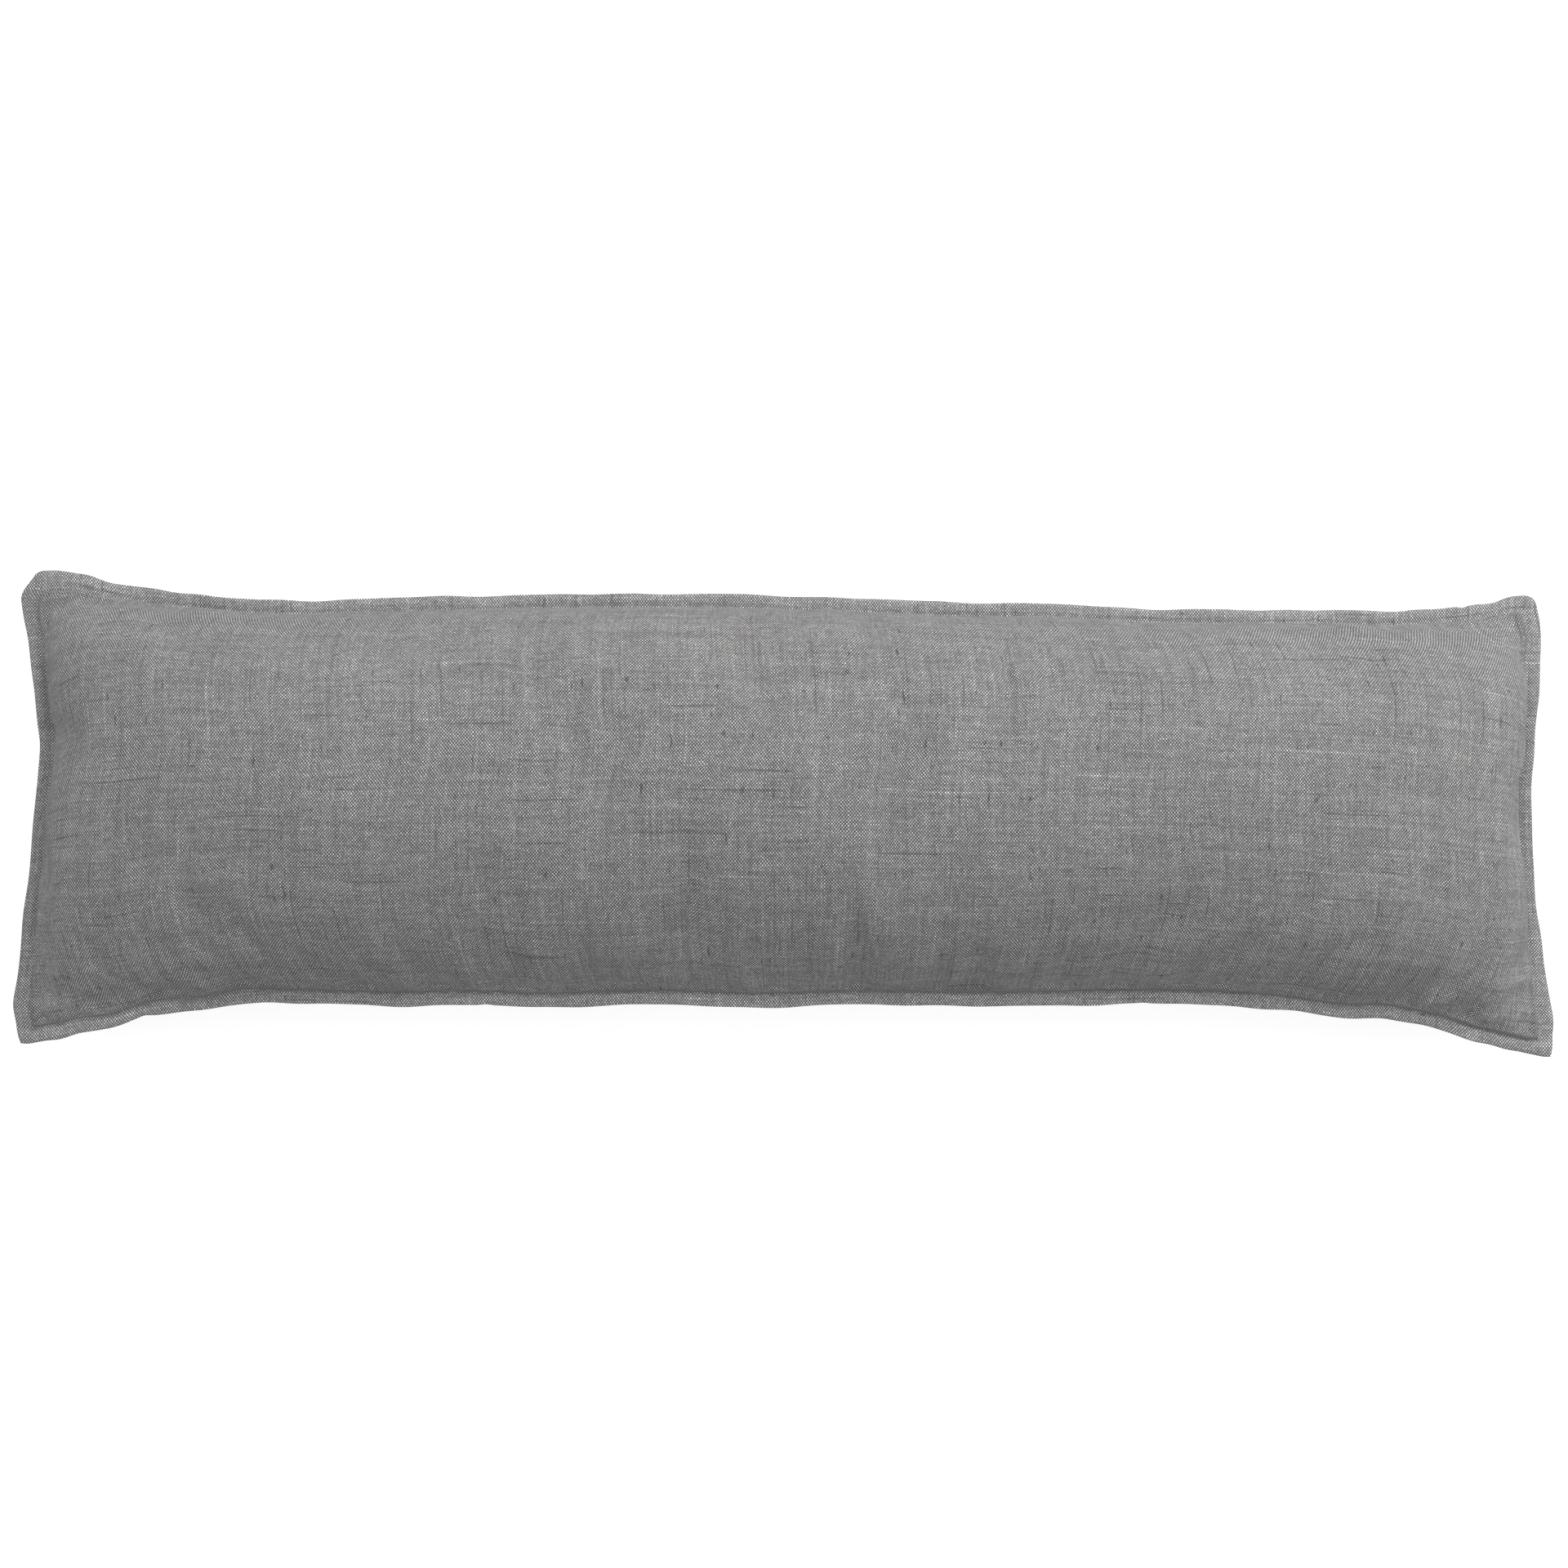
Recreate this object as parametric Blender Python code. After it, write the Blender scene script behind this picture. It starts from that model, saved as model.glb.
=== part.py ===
"""Body pillow in heavy grey linen, lying on its back.

Two linen panels are stitched together round the filling, and their margins stay outside the stitching as
a narrow flange. Metres, +Z up. X runs along the pillow, +Y points to its upper long side, and the origin
is the middle of the pillow's box, on the surface that it rests on.
"""

import math
from collections import namedtuple

import bmesh
import bpy
import numpy as np

PILLOW = "body_pillow"

# The case as it is cut and sewn
PANEL_LENGTH = 1.530  # cloth from end seam to end seam
PANEL_WIDTH = 0.460  # cloth from lower seam to upper seam
FLANGE_WIDTH = 0.013  # from the seam to the folded edge, along the sides
FLANGE_THICKNESS = 0.003  # two cloths and the margin turned in between them
SEAM_BAND = 0.0018  # half the height of the body's rim, where the stitches hold it
PIECE_GAP = 0.0003  # between the body's rim and the flange

# The filled form, resting on its back
CROWN_RISE = 0.108  # the front panel's highest part over its seams
LOWER_SEAM_HEIGHT = 0.078  # of the seam's middle line over the surface, halfway along
UPPER_SEAM_HEIGHT = 0.058
END_DROP = 0.016  # how much lower the seam lies at the two ends
CORNER_DROP = 0.006  # and how much lower still at the four corners
FLANGE_DROOP = 0.0015  # how far the flange's free edge hangs below its seam
CORNER_FULLNESS = 0.4  # 0 lets the filling thin out at the corners, 1 packs it into them

# Cells of each panel
ALONG_CELLS = 108
ACROSS_CELLS = 18
CLOSER_AT_SEAMS = 0.55  # 0 spaces them evenly
CORNER_FAN_CELLS = 6
PROFILE_STEPS = 800  # along a panel's section, where its slope is added up
SHARP_EDGE = math.radians(50)

LINEN_COLOUR = (0.252, 0.252, 0.252, 1.0)
FLANGE_COLOUR = (0.280, 0.280, 0.280, 1.0)
LINEN_ROUGHNESS = 0.95

# The pillow's outer edge from above, each side from its first corner to its second
EdgePoint = namedtuple("EdgePoint", "along across")
UPPER_EDGE = (
    EdgePoint(-0.7158, 0.2336),
    EdgePoint(-0.6985, 0.2334),
    EdgePoint(-0.6720, 0.2304),
    EdgePoint(-0.6400, 0.2222),
    EdgePoint(-0.6080, 0.2165),
    EdgePoint(-0.5460, 0.2088),
    EdgePoint(-0.4840, 0.2048),
    EdgePoint(-0.3900, 0.2063),
    EdgePoint(-0.2650, 0.2095),
    EdgePoint(-0.1100, 0.2106),
    EdgePoint(0.0100, 0.2088),
    EdgePoint(0.0900, 0.2058),
    EdgePoint(0.1400, 0.2030),
    EdgePoint(0.2000, 0.2020),
    EdgePoint(0.2700, 0.2008),
    EdgePoint(0.3300, 0.1972),
    EdgePoint(0.4210, 0.1952),
    EdgePoint(0.5150, 0.1958),
    EdgePoint(0.5700, 0.1944),
    EdgePoint(0.6240, 0.1966),
    EdgePoint(0.6710, 0.2024),
    EdgePoint(0.7020, 0.2090),
    EdgePoint(0.7212, 0.2100),
)
LOWER_EDGE = (
    EdgePoint(-0.7285, -0.2204),
    EdgePoint(-0.7020, -0.2157),
    EdgePoint(-0.6710, -0.2082),
    EdgePoint(-0.6400, -0.2030),
    EdgePoint(-0.6080, -0.1925),
    EdgePoint(-0.5460, -0.1850),
    EdgePoint(-0.5100, -0.1785),
    EdgePoint(-0.4680, -0.1787),
    EdgePoint(-0.3750, -0.1816),
    EdgePoint(-0.2850, -0.1803),
    EdgePoint(-0.2340, -0.1826),
    EdgePoint(-0.1720, -0.1812),
    EdgePoint(-0.0950, -0.1803),
    EdgePoint(-0.0400, -0.1822),
    EdgePoint(0.0780, -0.1802),
    EdgePoint(0.2000, -0.1816),
    EdgePoint(0.3000, -0.1800),
    EdgePoint(0.3900, -0.1800),
    EdgePoint(0.4840, -0.1862),
    EdgePoint(0.5300, -0.1928),
    EdgePoint(0.5770, -0.1948),
    EdgePoint(0.6240, -0.2045),
    EdgePoint(0.6710, -0.2188),
    EdgePoint(0.7020, -0.2266),
    EdgePoint(0.7324, -0.2320),
)
LEFT_EDGE = (
    EdgePoint(-0.7285, -0.2204),
    EdgePoint(-0.7330, -0.1860),
    EdgePoint(-0.7274, -0.1314),
    EdgePoint(-0.7220, -0.0729),
    EdgePoint(-0.7180, -0.0378),
    EdgePoint(-0.7162, 0.0000),
    EdgePoint(-0.7120, 0.0360),
    EdgePoint(-0.7092, 0.0675),
    EdgePoint(-0.7152, 0.1143),
    EdgePoint(-0.7236, 0.1730),
    EdgePoint(-0.7286, 0.1962),
    EdgePoint(-0.7288, 0.2080),
    EdgePoint(-0.7232, 0.2220),
    EdgePoint(-0.7158, 0.2336),
)
RIGHT_EDGE = (
    EdgePoint(0.7324, -0.2320),
    EdgePoint(0.7348, -0.2016),
    EdgePoint(0.7293, -0.1665),
    EdgePoint(0.7246, -0.1314),
    EdgePoint(0.7184, -0.0729),
    EdgePoint(0.7141, -0.0200),
    EdgePoint(0.7141, 0.0200),
    EdgePoint(0.7176, 0.0675),
    EdgePoint(0.7230, 0.1143),
    EdgePoint(0.7240, 0.1500),
    EdgePoint(0.7262, 0.1730),
    EdgePoint(0.7224, 0.1960),
    EdgePoint(0.7212, 0.2100),
)

# run is the axis that the side follows (0 is X, 1 is Y), and inward points across it into the pillow
Side = namedtuple("Side", "edge run inward first second")
SIDES = {
    "lower": Side(LOWER_EDGE, 0, 1, "lower_left", "lower_right"),
    "right": Side(RIGHT_EDGE, 1, -1, "lower_right", "upper_right"),
    "upper": Side(UPPER_EDGE, 0, -1, "upper_left", "upper_right"),
    "left": Side(LEFT_EDGE, 1, 1, "lower_left", "upper_left"),
}

# flange is its width at the corner. sharpness is 1 for a pointed corner, 0 for a round one and -1 for
# one that is cut off.
Corner = namedtuple("Corner", "end side flange sharpness")
CORNERS = {
    "lower_left": Corner("left", "lower", 0.015, 0.5),
    "lower_right": Corner("right", "lower", 0.015, 0.6),
    "upper_right": Corner("right", "upper", 0.015, 0.1),
    "upper_left": Corner("left", "upper", 0.018, 0.5),
}
CORNER_REACH = 0.045  # how fast the flange narrows away from a corner

# How a panel leaves its seams, in degrees and metres of cloth: the slope of the long crown, which fades
# out over arc_length, and the slope that the tight roll at the seam adds to it, over roll_length
Rim = namedtuple("Rim", "arc arc_length roll roll_length")
FRONT_RIMS = {
    "lower": Rim(50, 0.225, 42, 0.036),
    "upper": Rim(58, 0.225, 58, 0.085),
    "left": Rim(40, 0.330, 60, 0.120),
    "right": Rim(38, 0.330, 74, 0.120),
}
BACK_RIMS = {
    "lower": Rim(60, 0.085, 30, 0.060),
    "upper": Rim(60, 0.085, 30, 0.060),
    "left": Rim(42, 0.180, 46, 0.080),
    "right": Rim(42, 0.180, 46, 0.080),
}

SEAM_HOLD = 0.95  # share of the rise below which a panel's cells still follow those of the seam

# The back's flat part bears on the surface with its middle and its four corners, so that it can't rock
FOOT_HOLLOW = 0.0006  # how much higher it lies between them
FOOT_MIDDLE = 0.3  # share of the flat part that is its middle
FOOT_MIDDLE_EDGE = 0.3  # share over which the middle rises to the hollow
FOOT_EDGE_SLOPE = 0.04  # how steeply the cloth leaves the surface past the corners

# Soft unevenness of the filling, as waves over the front panel: lengths in metres, phase in turns
Swell = namedtuple("Swell", "height along across phase")
SWELLS = (
    Swell(0.0026, 0.62, 0.95, 0.10),
    Swell(0.0016, 0.37, -0.48, 0.55),
    Swell(0.0011, 0.23, 0.36, 0.30),
)

# Puckers that the stitching draws in both panels beside the long seams
PUCKER_PITCH = 0.082
PUCKER_DEPTH = 0.0034
PUCKER_REACH = 0.013  # cloth between the seam and a pucker's deepest part
PUCKER_SLANT = math.radians(45)  # how steeply they are drawn in
PUCKER_DRIFT = 0.014  # how far they stray from even spacing, in a wave this long:
PUCKER_DRIFT_LENGTH = 0.31

# Waves of the flange's free edge, counted once round the pillow
Ripple = namedtuple("Ripple", "count height phase")
RIPPLES = (
    Ripple(11, 0.0012, 0.20),
    Ripple(19, 0.0009, 0.65),
    Ripple(31, 0.0006, 0.40),
)


def mix(first, second, share):
    return first + (second - first) * share


def ease(share):
    """0 to 1 with a soft start and stop."""
    share = np.clip(share, 0, 1)
    return share * share * (3 - 2 * share)


def edge_across(side, at):
    """The outer edge's place across the side, for places along it: a smooth curve through its table."""
    points = np.array(side.edge)
    knots = points[:, side.run]
    values = points[:, 1 - side.run]
    slopes = np.gradient(values, knots)
    row = np.clip(np.searchsorted(knots, at) - 1, 0, len(knots) - 2)
    span = knots[row + 1] - knots[row]
    t = (at - knots[row]) / span
    from_first = (1 + 2 * t) * values[row] + t * span * slopes[row]
    from_second = (3 - 2 * t) * values[row + 1] + (t - 1) * span * slopes[row + 1]
    return from_first * (1 - t) ** 2 + from_second * t**2


def side_points(side, along_side, across_side):
    """Points (x, y) from places along and across a side."""
    pair = (along_side, across_side) if side.run == 0 else (across_side, along_side)
    return np.stack(np.broadcast_arrays(*pair), axis=-1)


def seam_corner(name):
    """Where the seams of two sides meet, inside the flange's corner."""
    corner = CORNERS[name]
    end, side = SIDES[corner.end], SIDES[corner.side]
    x, y = end.edge[0] if side.inward > 0 else end.edge[-1]
    for _ in range(8):
        x = float(edge_across(end, y)) + end.inward * corner.flange
        y = float(edge_across(side, x)) + side.inward * corner.flange
    return np.array((x, y))


SEAM_CORNERS = {name: seam_corner(name) for name in CORNERS}


def seam_points(name, share):
    """Points of the seam at shares of a side, from its first corner to its second."""
    side = SIDES[name]
    first, second = SEAM_CORNERS[side.first][side.run], SEAM_CORNERS[side.second][side.run]
    at = mix(first, second, share)
    wider_at_first = (CORNERS[side.first].flange - FLANGE_WIDTH) * np.exp(-(at - first) / CORNER_REACH)
    wider_at_second = (CORNERS[side.second].flange - FLANGE_WIDTH) * np.exp(-(second - at) / CORNER_REACH)
    width = FLANGE_WIDTH + wider_at_first + wider_at_second
    return side_points(side, at, edge_across(side, at) + side.inward * width)


def plan_points(share_along, share_across):
    """Points (x, y) inside the seam: a patch blended from its four sides."""
    s, t = np.clip(share_along, 0, 1), np.clip(share_across, 0, 1)
    s2, t2 = s[..., None], t[..., None]
    points = mix(seam_points("lower", s), seam_points("upper", s), t2)
    points = points + mix(seam_points("left", t), seam_points("right", t), s2)
    low = mix(SEAM_CORNERS["lower_left"], SEAM_CORNERS["lower_right"], s2)
    high = mix(SEAM_CORNERS["upper_left"], SEAM_CORNERS["upper_right"], s2)
    points = points - mix(low, high, t2)
    points[..., 0] += (share_along - s) * PANEL_LENGTH
    points[..., 1] += (share_across - t) * PANEL_WIDTH
    return points


def seam_height(share_along, share_across):
    """Height of the seam's middle line, carried over the whole pillow."""
    to_end = np.clip(np.abs(2 * share_along - 1), 0, 1)
    to_side = np.clip(np.abs(2 * share_across - 1), 0, 1)
    level = mix(LOWER_SEAM_HEIGHT, UPPER_SEAM_HEIGHT, np.clip(share_across, 0, 1))
    return level - END_DROP * to_end**4 - CORNER_DROP * to_end**6 * to_side**4


def stations(cells):
    """Places from -1 to 1 over a panel, closer together at the seams."""
    even = np.linspace(-1, 1, cells + 1)
    return mix(even, np.sin(even * math.pi / 2), CLOSER_AT_SEAMS)


def rim_slope(cloth_from_seam, rim):
    arc = rim.arc * np.clip(1 - cloth_from_seam / rim.arc_length, 0, 1)
    roll = rim.roll * np.clip(1 - cloth_from_seam / rim.roll_length, 0, 1) ** 2
    return np.radians(arc + roll)


def panel_profile(places, length, first, second):
    """Share of the way across the pillow, and share of the full rise, at places on a strip of cloth."""
    fine = np.linspace(-1, 1, PROFILE_STEPS + 1)
    cloth = (fine + 1) / 2 * length
    slope = rim_slope(length - cloth, second) - rim_slope(cloth, first)
    middle = (slope[1:] + slope[:-1]) / 2
    across = np.concatenate(([0], np.cumsum(np.cos(middle))))
    rise = np.concatenate(([0], np.cumsum(-np.sin(middle))))
    across = across / across[-1]
    rise = rise - mix(rise[0], rise[-1], across)
    return np.interp(places, fine, across), np.interp(places, fine, rise / rise.max())


def filled(first, second):
    """The two rises of a place on a panel combined, so that it is nought at every seam."""
    return first * second / np.maximum(first + second - first * second, 1e-9) ** CORNER_FULLNESS


def swell(points):
    """The filling's unevenness at points (x, y)."""
    height = 0
    for wave in SWELLS:
        turns = points[..., 0] / wave.along + points[..., 1] / wave.across + wave.phase
        height = height + wave.height * np.sin(2 * math.pi * turns)
    return height


def panel_points(rims):
    """Shares along and across, plan points, rise, and rise along the middle, of every station of a panel."""
    along, across = stations(ALONG_CELLS)[:, None], stations(ACROSS_CELLS)[None, :]
    s_panel, rise_along = panel_profile(along, PANEL_LENGTH, rims["left"], rims["right"])
    t_panel, rise_across = panel_profile(across, PANEL_WIDTH, rims["lower"], rims["upper"])
    # Beside a seam, both panels keep the seam's own even stations.
    s = mix((along + 1) / 2, s_panel, ease(rise_across / SEAM_HOLD))
    t = mix((across + 1) / 2, t_panel, ease(rise_along / SEAM_HOLD))
    return s, t, plan_points(s, t), filled(rise_along, rise_across), rise_along


def pucker_depth(x, seam_cloth):
    """How far a panel is drawn in at a place x along it, with so much cloth between it and the seam."""
    strayed = x + PUCKER_DRIFT * np.sin(2 * math.pi * x / PUCKER_DRIFT_LENGTH)
    pucker = (1 + np.cos(2 * math.pi * strayed / PUCKER_PITCH)) / 2
    reach = seam_cloth / PUCKER_REACH
    return PUCKER_DEPTH * pucker * reach * np.exp(1 - reach)


def laid_out(plan, height, share_filled, outward):
    """A panel's points, puckered towards the pillow's middle. outward is 1 for the front, -1 for the back."""
    cloth = (stations(ACROSS_CELLS)[None, :] + 1) / 2 * PANEL_WIDTH
    from_lower = pucker_depth(plan[..., 0], cloth) * share_filled
    from_upper = pucker_depth(plan[..., 0], PANEL_WIDTH - cloth) * share_filled
    y = plan[..., 1] + (from_lower - from_upper) * math.cos(PUCKER_SLANT)
    z = height - outward * (from_lower + from_upper) * math.sin(PUCKER_SLANT)
    return np.stack((plan[..., 0], y, z), axis=-1)


def front_panel():
    s, t, plan, rise, rise_along = panel_points(FRONT_RIMS)
    height = seam_height(s, t) + SEAM_BAND + (CROWN_RISE + swell(plan)) * rise
    return laid_out(plan, height, rise_along, 1)


def foot_span(cells, cloth_length, rim_length):
    """Cloth from the middle of a panel to each station, and to the last station of the flat part."""
    from_middle = np.abs(stations(cells)) * cloth_length / 2
    return from_middle, from_middle[from_middle <= cloth_length / 2 - rim_length].max()


def foot_rise():
    """How far the back lies above the surface: nought in the middle of its flat part and at its corners."""
    along, corner_along = foot_span(ALONG_CELLS, PANEL_LENGTH, BACK_RIMS["left"].arc_length)
    across, corner_across = foot_span(ACROSS_CELLS, PANEL_WIDTH, BACK_RIMS["lower"].arc_length)
    along, across = along[:, None], across[None, :]
    past = np.clip(along - corner_along, 0, None) + np.clip(across - corner_across, 0, None)
    u, v = np.clip(along / corner_along, 0, 1), np.clip(across / corner_across, 0, 1)
    off_middle = ease((np.maximum(u, v) - FOOT_MIDDLE) / FOOT_MIDDLE_EDGE)
    return FOOT_HOLLOW * off_middle * (1 - u * v) + FOOT_EDGE_SLOPE * past


def back_panel():
    """The back panel spreads flat on the surface wherever its rise is full."""
    s, t, plan, rise, rise_along = panel_points(BACK_RIMS)
    height = (seam_height(s, t) - SEAM_BAND) * (1 - rise) + foot_rise() * rise
    return laid_out(plan, height, rise_along * (1 - rise), -1)


def new_object(name, bm, material, collection):
    bmesh.ops.recalc_face_normals(bm, faces=bm.faces)
    mesh = bpy.data.meshes.new(name)
    bm.to_mesh(mesh)
    bm.free()
    mesh.shade_smooth()
    mesh.set_sharp_from_angle(angle=SHARP_EDGE)
    mesh.materials.append(material)
    obj = bpy.data.objects.new(name, mesh)
    collection.objects.link(obj)
    return obj


def filled_body(material, collection):
    """Both panels as one closed form: a grid for the back, extruded into the front and the rim between."""
    bm = bmesh.new()
    bmesh.ops.create_grid(bm, x_segments=ALONG_CELLS, y_segments=ACROSS_CELLS, size=1)
    back_verts = list(bm.verts)
    extruded = bmesh.ops.extrude_face_region(bm, geom=list(bm.faces))
    front_verts = [item for item in extruded["geom"] if isinstance(item, bmesh.types.BMVert)]
    for verts, points in ((back_verts, back_panel()), (front_verts, front_panel())):
        for vert in verts:
            row = round((vert.co.x + 1) / 2 * ALONG_CELLS)
            column = round((vert.co.y + 1) / 2 * ACROSS_CELLS)
            vert.co = points[row, column]
    return new_object("filled_body", bm, material, collection)


def side_stations(name):
    """Shares along a side, with the corners left out."""
    cells = ALONG_CELLS if SIDES[name].run == 0 else ACROSS_CELLS
    return (stations(cells)[1:-1] + 1) / 2


def outer_corner(name, steps):
    """The flange's edge round one corner, from the end's last station to the side's."""
    corner = CORNERS[name]
    end, side = SIDES[corner.end], SIDES[corner.side]
    inner = SEAM_CORNERS[name]
    start = side_points(end, inner[1], edge_across(end, inner[1]))
    stop = side_points(side, inner[0], edge_across(side, inner[0]))
    tip = np.array(end.edge[0] if side.inward > 0 else end.edge[-1])
    w = np.linspace(0, 1, steps + 1)[:, None]
    round_one = (1 - w) ** 2 * start + 2 * w * (1 - w) * tip + w**2 * stop
    pointed = np.where(w < 0.5, mix(start, tip, 2 * w), mix(tip, stop, 2 * w - 1))
    cut_off = mix(start, stop, w)
    return mix(round_one, pointed if corner.sharpness > 0 else cut_off, abs(corner.sharpness))


def flange_rows():
    """Pairs of points (x, y) round the pillow, anticlockwise: on the body's rim and on the free edge."""
    inner, outer = [], []

    def add_side(name, turned):
        side, share = SIDES[name], side_stations(name)
        seam = seam_points(name, share[::-1] if turned else share)
        at = seam[:, side.run]
        inner.extend(seam - side_points(side, 0, side.inward * PIECE_GAP))
        outer.extend(side_points(side, at, edge_across(side, at)))

    def add_corner(name, turned):
        fan = outer_corner(name, CORNER_FAN_CELLS)
        inward = np.array((SIDES[CORNERS[name].end].inward, SIDES[CORNERS[name].side].inward))
        inner.extend([SEAM_CORNERS[name] - inward * PIECE_GAP] * len(fan))
        outer.extend(fan[::-1] if turned else fan)

    add_corner("lower_left", turned=False)
    add_side("lower", turned=False)
    add_corner("lower_right", turned=True)
    add_side("right", turned=False)
    add_corner("upper_right", turned=False)
    add_side("upper", turned=True)
    add_corner("upper_left", turned=True)
    add_side("left", turned=True)
    return np.array(inner), np.array(outer)


def shares_of(points):
    """Shares along and across of points on the seam, near enough for its slow change of height."""
    low, high = SEAM_CORNERS["lower_left"], SEAM_CORNERS["upper_right"]
    shares = np.clip((points - low) / (high - low), 0, 1)
    return shares[:, 0], shares[:, 1]


def flange(material, collection):
    """A ring of cloth round the rim, laid out as one surface and lifted to its thickness."""
    inner, outer = flange_rows()
    level = seam_height(*shares_of(inner)) - FLANGE_THICKNESS / 2
    turn = np.linspace(0, 2 * math.pi, len(inner), endpoint=False)
    free_edge = level - FLANGE_DROOP
    for ripple in RIPPLES:
        free_edge = free_edge + ripple.height * np.sin(ripple.count * turn + 2 * math.pi * ripple.phase)
    bm = bmesh.new()
    inner_verts, outer_verts = [], []
    for k in range(len(inner)):
        if k > 0 and np.array_equal(inner[k], inner[k - 1]):
            inner_verts.append(inner_verts[-1])
        else:
            inner_verts.append(bm.verts.new((*inner[k], level[k])))
        outer_verts.append(bm.verts.new((*outer[k], free_edge[k])))
    for k, inner_vert in enumerate(inner_verts):
        n = (k + 1) % len(inner_verts)
        ring = [inner_vert, outer_verts[k], outer_verts[n], inner_verts[n]]
        bm.faces.new(ring if inner_verts[n] is not inner_vert else ring[:3])
    lifted = bmesh.ops.extrude_face_region(bm, geom=list(bm.faces))
    upper_verts = [item for item in lifted["geom"] if isinstance(item, bmesh.types.BMVert)]
    bmesh.ops.translate(bm, verts=upper_verts, vec=(0, 0, FLANGE_THICKNESS))
    return new_object("flange", bm, material, collection)


def linen(name, colour):
    material = bpy.data.materials.new(name)
    material.use_nodes = True
    shader = material.node_tree.nodes["Principled BSDF"]
    shader.inputs["Base Color"].default_value = colour
    shader.inputs["Roughness"].default_value = LINEN_ROUGHNESS
    shader.inputs["Metallic"].default_value = 0.0
    material.diffuse_color = colour
    return material


def centre_footprint(objects):
    """Moves the meshes so that the middle of their common box is over the origin."""
    points = np.array([vert.co for obj in objects for vert in obj.data.vertices])
    middle = (points.min(axis=0) + points.max(axis=0)) / 2
    for obj in objects:
        for vert in obj.data.vertices:
            vert.co.x -= middle[0]
            vert.co.y -= middle[1]


def main():
    for obj in list(bpy.data.objects):
        bpy.data.objects.remove(obj, do_unlink=True)
    collection = bpy.data.collections.new(PILLOW)
    bpy.context.scene.collection.children.link(collection)
    body = filled_body(linen("linen_panels", LINEN_COLOUR), collection)
    border = flange(linen("linen_flange", FLANGE_COLOUR), collection)
    border.parent = body
    centre_footprint([body, border])


main()
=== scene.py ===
# %% [markdown]
# # A body pillow in heavy grey linen
#
# The pillow is a long case of slubby plain-weave linen, stuffed with loose filling and laid on its
# back. It is sewn from two panels. They are stitched together about 13 mm inside their edges, and the
# margin that stays outside the stitches is the flange. The lesson models the two panels, lets cloth
# simulation settle them, adds the flange and its topstitch, and then weaves the linen from shader
# nodes.
#
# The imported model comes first. It holds the plain solids that the visible pieces have to fit, and the
# box round them is kept, so that the last cell can show that the pillow hasn't grown.

import math
from collections import namedtuple
from functools import partial

import bmesh
import bpy
import numpy as np
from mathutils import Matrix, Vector


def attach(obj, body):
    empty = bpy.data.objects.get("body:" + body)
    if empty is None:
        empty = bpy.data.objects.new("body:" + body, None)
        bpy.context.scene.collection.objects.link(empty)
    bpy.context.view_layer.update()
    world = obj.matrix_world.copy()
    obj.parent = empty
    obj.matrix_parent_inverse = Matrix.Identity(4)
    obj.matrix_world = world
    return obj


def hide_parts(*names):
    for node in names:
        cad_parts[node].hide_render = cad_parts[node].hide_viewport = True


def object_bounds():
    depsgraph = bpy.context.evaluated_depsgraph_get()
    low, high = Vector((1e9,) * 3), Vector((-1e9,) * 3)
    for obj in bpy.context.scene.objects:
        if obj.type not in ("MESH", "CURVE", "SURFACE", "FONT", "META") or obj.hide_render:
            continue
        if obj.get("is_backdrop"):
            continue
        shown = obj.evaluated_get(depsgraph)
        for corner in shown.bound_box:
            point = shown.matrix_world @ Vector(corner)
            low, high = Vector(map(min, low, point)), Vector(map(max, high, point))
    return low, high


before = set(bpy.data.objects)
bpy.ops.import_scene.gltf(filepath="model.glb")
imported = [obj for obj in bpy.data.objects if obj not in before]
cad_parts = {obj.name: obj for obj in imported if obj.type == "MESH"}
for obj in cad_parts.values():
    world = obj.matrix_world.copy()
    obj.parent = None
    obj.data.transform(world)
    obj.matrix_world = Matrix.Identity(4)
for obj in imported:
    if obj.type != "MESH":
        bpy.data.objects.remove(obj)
cad_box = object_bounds()
scene = bpy.context.scene
print("the CAD box, in metres:", [[round(value, 4) for value in corner] for corner in cad_box])

# %% [markdown]
# ## The camera
#
# A pillow for a catalogue is laid flat and photographed from straight above, with a long lens far away,
# so that both ends are seen alike. A little perspective stays: the crown is closer to the lens than the
# floor, and it hides part of the flange along the top. The camera therefore looks straight down from 5
# m. It stands a little off the middle, because the pillow lies a little below the middle of the
# picture.

# %% The camera
CAMERA_HEIGHT = 5.0
CAMERA_OFFSET = 0.0278  # towards +Y
PICTURE_WIDTH = 1.4954  # metres across the picture, at the height of the pillow's outline
OUTLINE_HEIGHT = 0.055
SENSOR_WIDTH = 36.0
FARTHEST_SEEN = 100.0

lens_data = bpy.data.cameras.new("camera")
lens_data.sensor_width = SENSOR_WIDTH
lens_data.lens = SENSOR_WIDTH * (CAMERA_HEIGHT - OUTLINE_HEIGHT) / PICTURE_WIDTH
lens_data.clip_end = FARTHEST_SEEN
camera = bpy.data.objects.new("camera", lens_data)
camera.location = (0.0, CAMERA_OFFSET, CAMERA_HEIGHT)
scene.collection.objects.link(camera)
scene.camera = camera
print(f"a {lens_data.lens:.1f} mm lens, {CAMERA_HEIGHT} m above the floor")

# %% [markdown]
# ## How the case is cut
#
# Cloth hardly stretches, so a pillow's shape follows from its cut: two panels of 1.53 by 0.46 m between
# the seams. The filling lifts their middles, and that draws the seams in. The stitches sit between the
# two panels, in a rim about as high as the cloth is thick. These are the same sizes as in the solid
# model.

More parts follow.
